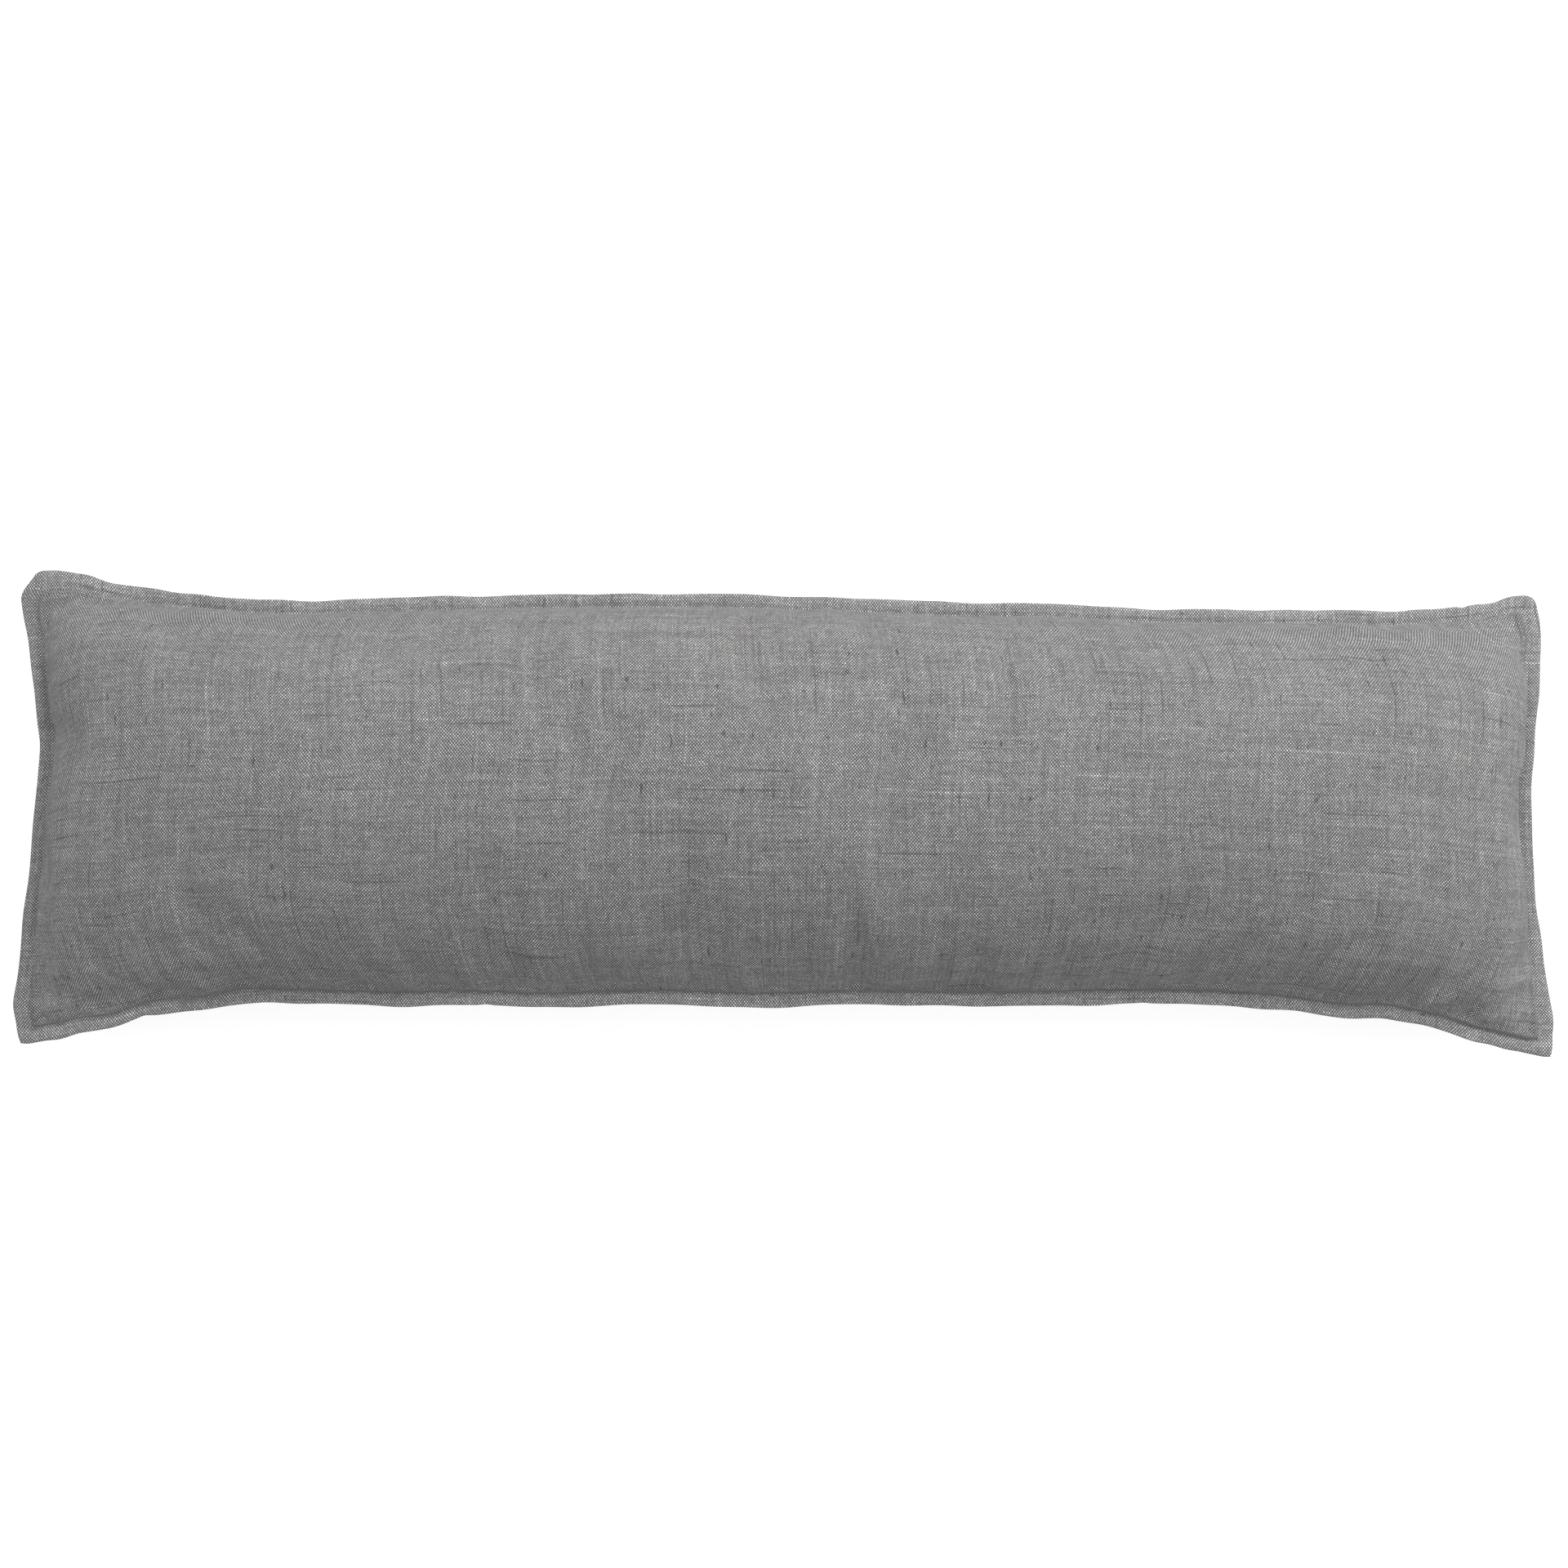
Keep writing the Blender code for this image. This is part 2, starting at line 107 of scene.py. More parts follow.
# %% How the case is cut
PANEL_LENGTH = 1.530
PANEL_WIDTH = 0.460
FLANGE_WIDTH = 0.013
FLANGE_THICKNESS = 0.003
SEAM_BAND = 0.0018  # half the height of the rim between the panels
PIECE_GAP = 0.0003
CROWN_RISE = 0.108
LOWER_SEAM_HEIGHT = 0.078
UPPER_SEAM_HEIGHT = 0.058
END_DROP = 0.016
CORNER_DROP = 0.006
FLANGE_DROOP = 0.0015
CORNER_FULLNESS = 0.4
CLOSER_AT_SEAMS = 0.55
SEAM_HOLD = 0.95
print(f"panels of {PANEL_LENGTH} x {PANEL_WIDTH} m, flange {FLANGE_WIDTH * 1000:.0f} mm")

# %% [markdown]
# ## The outline
#
# A filled case isn't a rectangle from above. Its sides are drawn in between the corners, and each side
# wanders a little, because the filling is uneven. So each side is a short table of points, and a smooth
# curve runs through them. Four such tables are easier to judge and to change than one long list of
# vertices. All tables of this lesson are made by two small functions, which give their columns names.

# %% The outline
def table(columns, *rows):
    """Rows whose columns have names."""
    row_type = namedtuple("Row", columns)
    return [row_type(*row) for row in rows]


def named_rows(columns, **rows):
    """The same for rows that have names too."""
    return dict(zip(rows, table(columns, *rows.values())))


UPPER_EDGE = table(
    "along across",
    (-0.7158, 0.2336), (-0.6985, 0.2334), (-0.6720, 0.2304), (-0.6400, 0.2222), (-0.6080, 0.2165),
    (-0.5460, 0.2088), (-0.4840, 0.2048), (-0.3900, 0.2063), (-0.2650, 0.2095), (-0.1100, 0.2106),
    (0.0100, 0.2088), (0.0900, 0.2058), (0.1400, 0.2030), (0.2000, 0.2020), (0.2700, 0.2008),
    (0.3300, 0.1972), (0.4210, 0.1952), (0.5150, 0.1958), (0.5700, 0.1944), (0.6240, 0.1966),
    (0.6710, 0.2024), (0.7020, 0.2090), (0.7212, 0.2100),
)
LOWER_EDGE = table(
    "along across",
    (-0.7285, -0.2204), (-0.7020, -0.2157), (-0.6710, -0.2082), (-0.6400, -0.2030), (-0.6080, -0.1925),
    (-0.5460, -0.1850), (-0.5100, -0.1785), (-0.4680, -0.1787), (-0.3750, -0.1816), (-0.2850, -0.1803),
    (-0.2340, -0.1826), (-0.1720, -0.1812), (-0.0950, -0.1803), (-0.0400, -0.1822), (0.0780, -0.1802),
    (0.2000, -0.1816), (0.3000, -0.1800), (0.3900, -0.1800), (0.4840, -0.1862), (0.5300, -0.1928),
    (0.5770, -0.1948), (0.6240, -0.2045), (0.6710, -0.2188), (0.7020, -0.2266), (0.7324, -0.2320),
)
LEFT_EDGE = table(
    "along across",
    (-0.7285, -0.2204), (-0.7330, -0.1860), (-0.7274, -0.1314), (-0.7220, -0.0729), (-0.7180, -0.0378),
    (-0.7162, 0.0000), (-0.7120, 0.0360), (-0.7092, 0.0675), (-0.7152, 0.1143), (-0.7236, 0.1730),
    (-0.7286, 0.1962), (-0.7288, 0.2080), (-0.7232, 0.2220), (-0.7158, 0.2336),
)
RIGHT_EDGE = table(
    "along across",
    (0.7324, -0.2320), (0.7348, -0.2016), (0.7293, -0.1665), (0.7246, -0.1314), (0.7184, -0.0729),
    (0.7141, -0.0200), (0.7141, 0.0200), (0.7176, 0.0675), (0.7230, 0.1143), (0.7240, 0.1500),
    (0.7262, 0.1730), (0.7224, 0.1960), (0.7212, 0.2100),
)

# run is the axis that the side follows (0 is X, 1 is Y), and inward points across it into the pillow
SIDES = named_rows(
    "edge run inward first second",
    lower=(LOWER_EDGE, 0, 1, "lower_left", "lower_right"),
    right=(RIGHT_EDGE, 1, -1, "lower_right", "upper_right"),
    upper=(UPPER_EDGE, 0, -1, "upper_left", "upper_right"),
    left=(LEFT_EDGE, 1, 1, "lower_left", "upper_left"),
)

# flange is its width at the corner. sharpness is 1 for a pointed corner and 0 for a round one
CORNERS = named_rows(
    "end side flange sharpness",
    lower_left=("left", "lower", 0.015, 0.5),
    lower_right=("right", "lower", 0.015, 0.6),
    upper_right=("right", "upper", 0.015, 0.1),
    upper_left=("left", "upper", 0.018, 0.5),
)
CORNER_REACH = 0.045  # how far from a corner the flange is still wider
print(f"{sum(len(side.edge) for side in SIDES.values())} points describe the outline")

# %% [markdown]
# ## Curves through the tables
#
# A cubic Hermite curve passes through every point of a table and needs only the slope there. NumPy
# works one out from the neighbours, and then a whole side is evaluated in one call. The seam runs
# inside the edge by the flange's width, which is a little more at the corners.

# %% Curves through the tables
CORNER_ROUNDS = 8  # of moving a seam's corner inside both of its edges


def mix(first, second, share):
    return first + (second - first) * share


def ease(share):
    """0 to 1 with a soft start and stop."""
    share = np.clip(share, 0, 1)
    return share * share * (3 - 2 * share)


def edge_across(side, at):
    points = np.array(side.edge)
    knots = points[:, side.run]
    values = points[:, 1 - side.run]
    slopes = np.gradient(values, knots)
    row = np.clip(np.searchsorted(knots, at) - 1, 0, len(knots) - 2)
    span = knots[row + 1] - knots[row]
    t = (at - knots[row]) / span
    from_first = (1 + 2 * t) * values[row] + t * span * slopes[row]
    from_second = (3 - 2 * t) * values[row + 1] + (t - 1) * span * slopes[row + 1]
    return from_first * (1 - t) ** 2 + from_second * t**2


def side_points(side, along_side, across_side):
    pair = (along_side, across_side) if side.run == 0 else (across_side, along_side)
    return np.stack(np.broadcast_arrays(*pair), axis=-1)


def seam_corner(name):
    corner = CORNERS[name]
    end, side = SIDES[corner.end], SIDES[corner.side]
    x, y = end.edge[0] if side.inward > 0 else end.edge[-1]
    for _ in range(CORNER_ROUNDS):
        x = float(edge_across(end, y)) + end.inward * corner.flange
        y = float(edge_across(side, x)) + side.inward * corner.flange
    return np.array((x, y))


SEAM_CORNERS = {name: seam_corner(name) for name in CORNERS}


def seam_points(name, share):
    side = SIDES[name]
    first, second = SEAM_CORNERS[side.first][side.run], SEAM_CORNERS[side.second][side.run]
    at = mix(first, second, share)
    width = FLANGE_WIDTH
    for corner, distance in ((side.first, at - first), (side.second, second - at)):
        width = width + (CORNERS[corner].flange - FLANGE_WIDTH) * np.exp(-distance / CORNER_REACH)
    return side_points(side, at, edge_across(side, at) + side.inward * width)


print("seam corners:", {name: corner.round(4).tolist() for name, corner in SEAM_CORNERS.items()})

# %% [markdown]
# ## From a flat panel to its place in the pillow
#
# Each point of a panel has an address on the flat cloth: how far it lies along it and across it. A
# Coons patch turns that address into a place on the plan, by blending the four seams. The seam's own
# height comes on top. It is highest halfway along, and it sinks towards the ends and corners, where
# there is less filling.

# %% From a flat panel to its place in the pillow
def plan_points(share_along, share_across):
    s, t = np.clip(share_along, 0, 1), np.clip(share_across, 0, 1)
    s2, t2 = s[..., None], t[..., None]
    points = mix(seam_points("lower", s), seam_points("upper", s), t2)
    points = points + mix(seam_points("left", t), seam_points("right", t), s2)
    low = mix(SEAM_CORNERS["lower_left"], SEAM_CORNERS["lower_right"], s2)
    high = mix(SEAM_CORNERS["upper_left"], SEAM_CORNERS["upper_right"], s2)
    points = points - mix(low, high, t2)
    points[..., 0] += (share_along - s) * PANEL_LENGTH
    points[..., 1] += (share_across - t) * PANEL_WIDTH
    return points


def seam_height(share_along, share_across):
    to_end = np.clip(np.abs(2 * share_along - 1), 0, 1)
    to_side = np.clip(np.abs(2 * share_across - 1), 0, 1)
    level = mix(LOWER_SEAM_HEIGHT, UPPER_SEAM_HEIGHT, np.clip(share_across, 0, 1))
    return level - END_DROP * to_end**4 - CORNER_DROP * to_end**6 * to_side**4


def stations(cells):
    """Places from -1 to 1 over a panel, closer together at the seams."""
    even = np.linspace(-1, 1, cells + 1)
    return mix(even, np.sin(even * math.pi / 2), CLOSER_AT_SEAMS)


middle_of_plan = plan_points(np.array([0.5]), np.array([0.5]))[0]
print("the middle of the cloth lies at", middle_of_plan.round(4).tolist())

# %% [markdown]
# ## How the filling lifts a panel
#
# Seen from its end, a stuffed panel leaves its seam steeply and flattens towards the middle. It is
# natural to write that as the cloth's slope: a long crown that fades out slowly, and a tight roll that
# ends soon. Adding up the sines and cosines of the slope gives the height and the width, and the cloth
# keeps its length. The upper seam's roll is steeper than upright, so the body overhangs its own flange
# there.

# %% How the filling lifts a panel
# Angles in degrees, and the lengths of cloth over which they fade out
FRONT_RIMS = named_rows(
    "arc arc_length roll roll_length",
    lower=(50, 0.225, 42, 0.036),
    upper=(58, 0.225, 58, 0.085),
    left=(40, 0.330, 60, 0.120),
    right=(38, 0.330, 74, 0.120),
)
BACK_RIMS = named_rows(
    "arc arc_length roll roll_length",
    lower=(60, 0.085, 30, 0.060),
    upper=(60, 0.085, 30, 0.060),
    left=(42, 0.180, 46, 0.080),
    right=(42, 0.180, 46, 0.080),
)
PROFILE_STEPS = 800
TINY = 1e-9  # keeps a divisor from being nought
TRIAL_CELLS = (60, 20)  # of a coarse panel, to measure the crown


def rim_slope(cloth_from_seam, rim):
    arc = rim.arc * np.clip(1 - cloth_from_seam / rim.arc_length, 0, 1)
    roll = rim.roll * np.clip(1 - cloth_from_seam / rim.roll_length, 0, 1) ** 2
    return np.radians(arc + roll)


def panel_profile(places, length, first, second):
    """Share of the way across the pillow, and share of the full rise, at places on a strip of cloth."""
    fine = np.linspace(-1, 1, PROFILE_STEPS + 1)
    cloth = (fine + 1) / 2 * length
    slope = rim_slope(length - cloth, second) - rim_slope(cloth, first)
    middle = (slope[1:] + slope[:-1]) / 2
    across = np.concatenate(([0], np.cumsum(np.cos(middle))))
    rise = np.concatenate(([0], np.cumsum(-np.sin(middle))))
    across = across / across[-1]
    rise = rise - mix(rise[0], rise[-1], across)
    return np.interp(places, fine, across), np.interp(places, fine, rise / rise.max())


def filled(first, second):
    return first * second / np.maximum(first + second - first * second, TINY) ** CORNER_FULLNESS


# Soft unevenness of the filling: lengths in metres, phase in turns
SWELLS = table(
    "height along across phase",
    (0.0026, 0.62, 0.95, 0.10),
    (0.0016, 0.37, -0.48, 0.55),
    (0.0011, 0.23, 0.36, 0.30),
)


def swell(points):
    height = 0
    for wave in SWELLS:
        turns = points[..., 0] / wave.along + points[..., 1] / wave.across + wave.phase
        height = height + wave.height * np.sin(2 * math.pi * turns)
    return height


def panel_surface(rims, along_cells, across_cells, front):
    """Points of a panel, shape (along + 1, across + 1, 3), and the flat cloth's address of each."""
    along, across = stations(along_cells)[:, None], stations(across_cells)[None, :]
    s_panel, rise_along = panel_profile(along, PANEL_LENGTH, rims["left"], rims["right"])
    t_panel, rise_across = panel_profile(across, PANEL_WIDTH, rims["lower"], rims["upper"])
    s = mix((along + 1) / 2, s_panel, ease(rise_across / SEAM_HOLD))
    t = mix((across + 1) / 2, t_panel, ease(rise_along / SEAM_HOLD))
    plan = plan_points(s, t)
    rise = filled(rise_along, rise_across)
    if front:
        height = seam_height(s, t) + SEAM_BAND + (CROWN_RISE + swell(plan)) * rise
    else:
        height = (seam_height(s, t) - SEAM_BAND) * (1 - rise)
    cloth = np.broadcast_arrays((along + 1) / 2 * PANEL_LENGTH, (across + 1) / 2 * PANEL_WIDTH)
    return np.concatenate((plan, height[..., None]), axis=-1), np.stack(cloth, axis=-1)


crown = panel_surface(FRONT_RIMS, *TRIAL_CELLS, True)[0][..., 2].max()
print(f"the crown stands {crown * 1000:.0f} mm above the floor")

# %% [markdown]
# ## The body's mesh
#
# One flat grid is the back panel. Extruding it gives the front panel and the narrow rim between the
# two, so the body is closed and made only of quads, which suits both cloth simulation and subdivision.
# The address on the flat cloth becomes a UV map in metres. The weave will be drawn on that map, so its
# threads bend and bunch up where the cloth does. The back's address is moved along by 2 m, so that the
# two sides differ.

# %% The body's mesh
BODY_ALONG_CELLS = 190
BODY_ACROSS_CELLS = 56
CLOTH_MAP = "cloth"
BACK_CLOTH_START = 2.0


def corner_vertices(mesh):
    """The vertex at each corner of each face."""
    vertices = np.empty(len(mesh.loops), dtype=np.int32)
    mesh.loops.foreach_get("vertex_index", vertices)
    return vertices


def set_cloth_map(mesh, address):
    """Writes each vertex's address on the flat cloth into a UV map, in metres."""
    layer = mesh.uv_layers.new(name=CLOTH_MAP)
    layer.uv.foreach_set("vector", address[corner_vertices(mesh)].astype(np.float32).ravel())


def cloth_address(mesh):
    """Reads each vertex's address back."""
    values = np.empty(len(mesh.loops) * 2)
    mesh.uv_layers[CLOTH_MAP].uv.foreach_get("vector", values)
    address = np.zeros((len(mesh.vertices), 2))
    address[corner_vertices(mesh)] = values.reshape(-1, 2)
    return address


def coordinates(mesh, name="co"):
    values = np.empty(len(mesh.vertices) * 3)
    mesh.vertices.foreach_get(name, values)
    return values.reshape(-1, 3)


def set_coordinates(mesh, points):
    mesh.vertices.foreach_set("co", np.asarray(points, dtype=np.float32).ravel())
    mesh.update()


def new_piece(name, data):
    piece = bpy.data.objects.new(name, data)
    scene.collection.objects.link(piece)
    return piece


def body_mesh():
    back, cloth = panel_surface(BACK_RIMS, BODY_ALONG_CELLS, BODY_ACROSS_CELLS, False)
    front, _ = panel_surface(FRONT_RIMS, BODY_ALONG_CELLS, BODY_ACROSS_CELLS, True)
    bm = bmesh.new()
    bmesh.ops.create_grid(bm, x_segments=BODY_ALONG_CELLS, y_segments=BODY_ACROSS_CELLS, size=1)
    back_count = len(bm.verts)
    bmesh.ops.extrude_face_region(bm, geom=list(bm.faces))
    bm.verts.ensure_lookup_table()
    grid = np.array([vert.co[:2] for vert in bm.verts])
    row = np.rint((grid[:, 0] + 1) / 2 * BODY_ALONG_CELLS).astype(int)
    column = np.rint((grid[:, 1] + 1) / 2 * BODY_ACROSS_CELLS).astype(int)
    is_front = np.arange(len(grid)) >= back_count
    for vert, point in zip(bm.verts, np.where(is_front[:, None], front[row, column], back[row, column])):
        vert.co = point
    bmesh.ops.recalc_face_normals(bm, faces=bm.faces)
    mesh = bpy.data.meshes.new("pillow_body")
    bm.to_mesh(mesh)
    bm.free()
    address = cloth[row, column]
    address[:, 0] += np.where(is_front, 0.0, BACK_CLOTH_START)
    set_cloth_map(mesh, address)
    return mesh, row, column, is_front


mesh, grid_row, grid_column, is_front = body_mesh()
body = new_piece("pillow_body", mesh)
print(f"{len(mesh.vertices)} vertices in the body before it settles")

# %% [markdown]
# ## Letting the cloth settle
#
# The surface so far is what a designer draws: smooth everywhere. Real panels are a little too long for
# the drawn-in seam, so they gather beside it. Cloth simulation finds those gathers. The seam is pinned,
# gravity is off, a light pressure stands for the filling, and a negative shrink makes the cloth
# slightly too large. The broad part of what it does is then taken out again and the rest is capped,
# because the outline and the crown are already right: only the gathers are wanted. Blender's cloth
# solver isn't quite repeatable. It starts from the same mesh each time, but a few gathers come out some
# millimetres apart from run to run.

# %% Letting the cloth settle
CLOTH_SETTINGS = {
    "quality": 5, "mass": 0.3, "tension_stiffness": 15.0, "compression_stiffness": 15.0,
    "shear_stiffness": 5.0, "bending_stiffness": 0.6,
    "shrink_min": -0.030,  # the cloth is 3% larger than the drawn surface
    "use_pressure": True, "uniform_pressure_force": 4.0,
}
SETTLE_FRAMES = 20
GATHER_CAP = 0.006
BROAD_PASSES = 60  # of averaging with the neighbours, to find the broad part of the movement
BROAD_KEPT = 0.15


def settle(piece, pinned):
    group = piece.vertex_groups.new(name="seam")
    group.add([int(index) for index in np.flatnonzero(pinned)], 1.0, "REPLACE")
    modifier = piece.modifiers.new("settle", "CLOTH")
    for setting, value in CLOTH_SETTINGS.items():
        setattr(modifier.settings, setting, value)
    modifier.settings.vertex_group_mass = group.name
    modifier.settings.effector_weights.gravity = 0.0
    modifier.collision_settings.use_collision = False
    for number in range(1, SETTLE_FRAMES + 1):
        scene.frame_set(number)
    evaluated = piece.evaluated_get(bpy.context.evaluated_depsgraph_get())
    settled = coordinates(evaluated.data)
    piece.modifiers.remove(modifier)
    piece.vertex_groups.remove(group)
    scene.frame_set(1)
    return settled


def broad_part(field):
    """A field over a panel, averaged with its neighbours again and again. It stays nought at the seams."""
    field = field.copy()
    for _ in range(BROAD_PASSES):
        field[1:-1, 1:-1] = (
            field[:-2, 1:-1] + field[2:, 1:-1] + field[1:-1, :-2] + field[1:-1, 2:]
        ) / 4
    return field


def gathers_of(moved, row, column):
    """One panel's movement without its broad part, capped."""
    field = np.zeros((BODY_ALONG_CELLS + 1, BODY_ACROSS_CELLS + 1, 3))
    field[row, column] = moved
    field = field - (1 - BROAD_KEPT) * broad_part(field)
    length = np.linalg.norm(field, axis=-1, keepdims=True)
    field = field * GATHER_CAP * np.tanh(length / GATHER_CAP) / np.maximum(length, TINY)
    return field[row, column]


drawn = coordinates(body.data)
at_seam = (grid_row % BODY_ALONG_CELLS == 0) | (grid_column % BODY_ACROSS_CELLS == 0)
moved = settle(body, at_seam) - drawn
for panel in (is_front, ~is_front):
    moved[panel] = gathers_of(moved[panel], grid_row[panel], grid_column[panel])
settled = drawn + moved
settled[:, 2] = np.maximum(settled[:, 2], 0.0)
set_coordinates(body.data, settled)
print(f"the cloth settled, by {np.linalg.norm(moved, axis=1).max() * 1000:.1f} mm at most")

# %% [markdown]
# ## Where the cloth folds
#
# Regular puckers follow from the stitches, so a rule makes them: waves that start at the seam and die
# out within a few centimetres. Single creases have their own places, so they come from a table. Both
# are written as a distance by which the cloth goes in, so that they can be added up before anything
# moves. The cloth beside a crease swells a little, because what the crease takes in has to come from
# somewhere.

# %% Where the cloth folds
# depth is how far the puckers go in, reach is the cloth over which they fade, pitch is their spacing, and
# drift is how far they stray from it over a wave of drift_length.
GATHERINGS = table(
    "seam pitch depth reach drift drift_length phase",
    ("lower", 0.082, 0.0034, 0.013, 0.014, 0.31, 0.00),
    ("lower", 0.047, 0.0012, 0.017, 0.011, 0.23, 0.30),
    ("lower", 0.029, 0.0006, 0.009, 0.008, 0.17, 0.70),
    ("upper", 0.082, 0.0026, 0.013, 0.014, 0.31, 0.00),
    ("upper", 0.053, 0.0010, 0.016, 0.012, 0.27, 0.55),
    ("left", 0.071, 0.0016, 0.016, 0.010, 0.19, 0.20),
    ("left", 0.031, 0.0006, 0.012, 0.006, 0.13, 0.65),
    ("right", 0.064, 0.0014, 0.016, 0.010, 0.21, 0.45),
    ("right", 0.034, 0.0006, 0.012, 0.006, 0.15, 0.05),
)

# Creases of the front panel: the middle of each, its direction in degrees, and its length, width and depth
CREASES = table(
    "x y direction length width depth",
    (-0.6500, -0.1300, -72, 0.060, 0.0060, 0.0010),
    (-0.6240, -0.1480, -66, 0.055, 0.0055, 0.0012),
    (-0.5950, -0.1600, -62, 0.050, 0.0050, 0.0011),
    (-0.5780, -0.1700, -55, 0.034, 0.0042, 0.0014),
    (-0.5480, -0.1600, -60, 0.040, 0.0050, 0.0009),
    (-0.5020, -0.1420, -64, 0.060, 0.0060, 0.0009),
    (-0.4600, -0.1560, -58, 0.045, 0.0050, 0.0009),
    (-0.4060, -0.1580, -62, 0.046, 0.0050, 0.0012),
    (-0.3930, -0.1650, -48, 0.030, 0.0042, 0.0018),
    (-0.3760, -0.1520, -52, 0.036, 0.0040, 0.0011),
    (-0.3420, -0.1530, -58, 0.030, 0.0036, 0.0011),
    (-0.2700, -0.1500, -66, 0.040, 0.0050, 0.0008),
    (-0.1400, -0.1560, -70, 0.034, 0.0050, 0.0009),
    (0.0310, -0.1560, -100, 0.036, 0.0050, 0.0008),
    (0.1870, -0.1560, -84, 0.036, 0.0050, 0.0008),
    (0.5200, -0.1640, -118, 0.050, 0.0060, 0.0010),
    (0.6240, -0.1900, -152, 0.070, 0.0060, 0.0014),
    (0.6600, -0.1780, -140, 0.060, 0.0070, 0.0010),
    (0.6450, 0.1660, 148, 0.050, 0.0060, 0.0010),
    (-0.6600, 0.1850, -30, 0.055, 0.0060, 0.0010),
    (-0.6900, -0.1950, 40, 0.050, 0.0060, 0.0010),
    (-0.6750, 0.0900, 20, 0.070, 0.0100, 0.0012),
    (-0.6700, -0.0300, -8, 0.060, 0.0100, 0.0010),
    (0.6700, 0.0200, 6, 0.070, 0.0110, 0.0011),
    (0.6650, -0.0900, -14, 0.060, 0.0100, 0.0010),
)


CREASE_SWELL = 0.3  # beside a crease, as a share of its depth


def gathered_in(place, seam_cloth, gathering):
    """How far a panel goes in at a place along a seam, with so much cloth between it and the seam."""
    drift = gathering.drift * np.sin(2 * math.pi * place / gathering.drift_length)
    turns = (place + drift) / gathering.pitch + gathering.phase
    reach = seam_cloth / gathering.reach
    return gathering.depth * (1 + np.cos(2 * math.pi * turns)) / 2 * reach * np.exp(1 - reach)


def creased_in(points, crease):
    direction = math.radians(crease.direction)
    dx, dy = points[:, 0] - crease.x, points[:, 1] - crease.y
    along = dx * math.cos(direction) + dy * math.sin(direction)
    across = dy * math.cos(direction) - dx * math.sin(direction)
    along, across = along / (crease.length / 2), across / crease.width
    dent, beside = np.exp(-(across**2)), np.exp(-(across / 2) ** 2)
    return crease.depth * np.exp(-(along**4)) * ((1 + CREASE_SWELL) * dent - CREASE_SWELL * beside)


print(f"{len(GATHERINGS)} rows of puckers and {len(CREASES)} creases")

# %% [markdown]
# ## Folding the body
#
# One level of subdivision, applied, gives quads of about 4 mm, fine enough for real folds. The vertices
# then go in along their normals, which keeps the weave's map untouched. The stitches hold the cloth
# beside them, and the surface below holds the back where it rests. The cloth in a seam's groove gets
# less light than the lamps alone would leave it, so each vertex also stores a shade, which the linen's
# shader adds to its light.

# %% Folding the body
SEAM_SHADE = {"lower": 0.20, "right": 0.06, "upper": 0.0, "left": 0.18}  # as a power of e
SHADE_REACH = 0.007
SHADE = "shade"
HELD_CLOTH = 0.012  # beside a seam
RESTING_HEIGHT = 0.004  # the back's cloth below it lies on the surface


def set_shade(mesh, values):
    attribute = mesh.attributes.new(SHADE, "FLOAT", "POINT")
    attribute.data.foreach_set("value", np.asarray(values, dtype=np.float32))


subdivision = body.modifiers.new("subdivision", "SUBSURF")
subdivision.levels = subdivision.render_levels = 1
smooth_mesh = bpy.data.meshes.new_from_object(body.evaluated_get(bpy.context.evaluated_depsgraph_get()))
body.modifiers.remove(subdivision)
body.data = smooth_mesh

points = coordinates(body.data)
normals = coordinates(body.data, "normal")
address = cloth_address(body.data)
on_back = address[:, 0] > (PANEL_LENGTH + BACK_CLOTH_START) / 2
cloth_along = address[:, 0] - np.where(on_back, BACK_CLOTH_START, 0.0)
cloth_across = address[:, 1]
seam_cloth = {
    "lower": cloth_across, "upper": PANEL_WIDTH - cloth_across,
    "left": cloth_along, "right": PANEL_LENGTH - cloth_along,
}

inward = np.zeros(len(points))
for gathering in GATHERINGS:
    place = points[:, SIDES[gathering.seam].run]
    inward += gathered_in(place, np.clip(seam_cloth[gathering.seam], 0, None), gathering)
for crease in CREASES:
    inward += np.where(on_back, 0.0, creased_in(points, crease))
hold = ease(np.minimum.reduce(list(seam_cloth.values())) / HELD_CLOTH)
rests = on_back & (points[:, 2] < RESTING_HEIGHT)
points = points - normals * (inward * hold * ~rests)[:, None]
points[:, 2] = np.maximum(points[:, 2], 0.0)
set_coordinates(body.data, points)
body.data.shade_smooth()
shade = np.zeros(len(points))
for name, depth in SEAM_SHADE.items():
    shade -= depth * np.exp(-((seam_cloth[name] / SHADE_REACH) ** 2))
set_shade(body.data, shade)
print(f"{len(body.data.polygons)} quads in the body, folded in by {inward.max() * 1000:.1f} mm at most")

# %% [markdown]
# ## The flange's section and waves
#
# The flange is the same two panels outside the stitches, with their raw edges turned in between them.
# It is flat cloth, about 3 mm thick, nipped by the stitches and rounded where it folds. One small
# cross-section will be carried all the way round. The free edge waves, since nothing holds it, and it
# has a few small folds of its own. Along the lower side the filling presses it up, so that its inner
# part turns to the light, and painted light makes that part lighter still.

# %% The flange's section and waves
FLANGE_CELLS = {"lower": 440, "upper": 440, "left": 130, "right": 130}
CORNER_FAN_CELLS = 14

# From the stitches to the fold: share of the flange's width, share of half its thickness
FLANGE_SECTION = table(
    "out thick",
    (-0.10, 0.90), (0.00, 0.84), (0.09, 0.36), (0.18, 0.52), (0.30, 0.86), (0.46, 1.00), (0.62, 1.00),
    (0.78, 0.96), (0.88, 0.84), (0.95, 0.58), (0.99, 0.26),
)
NIPPED = FLANGE_SECTION[2]  # where the stitches pull it thin
RISE_CURVE = 1.5  # the power of the way out with which the edge rises

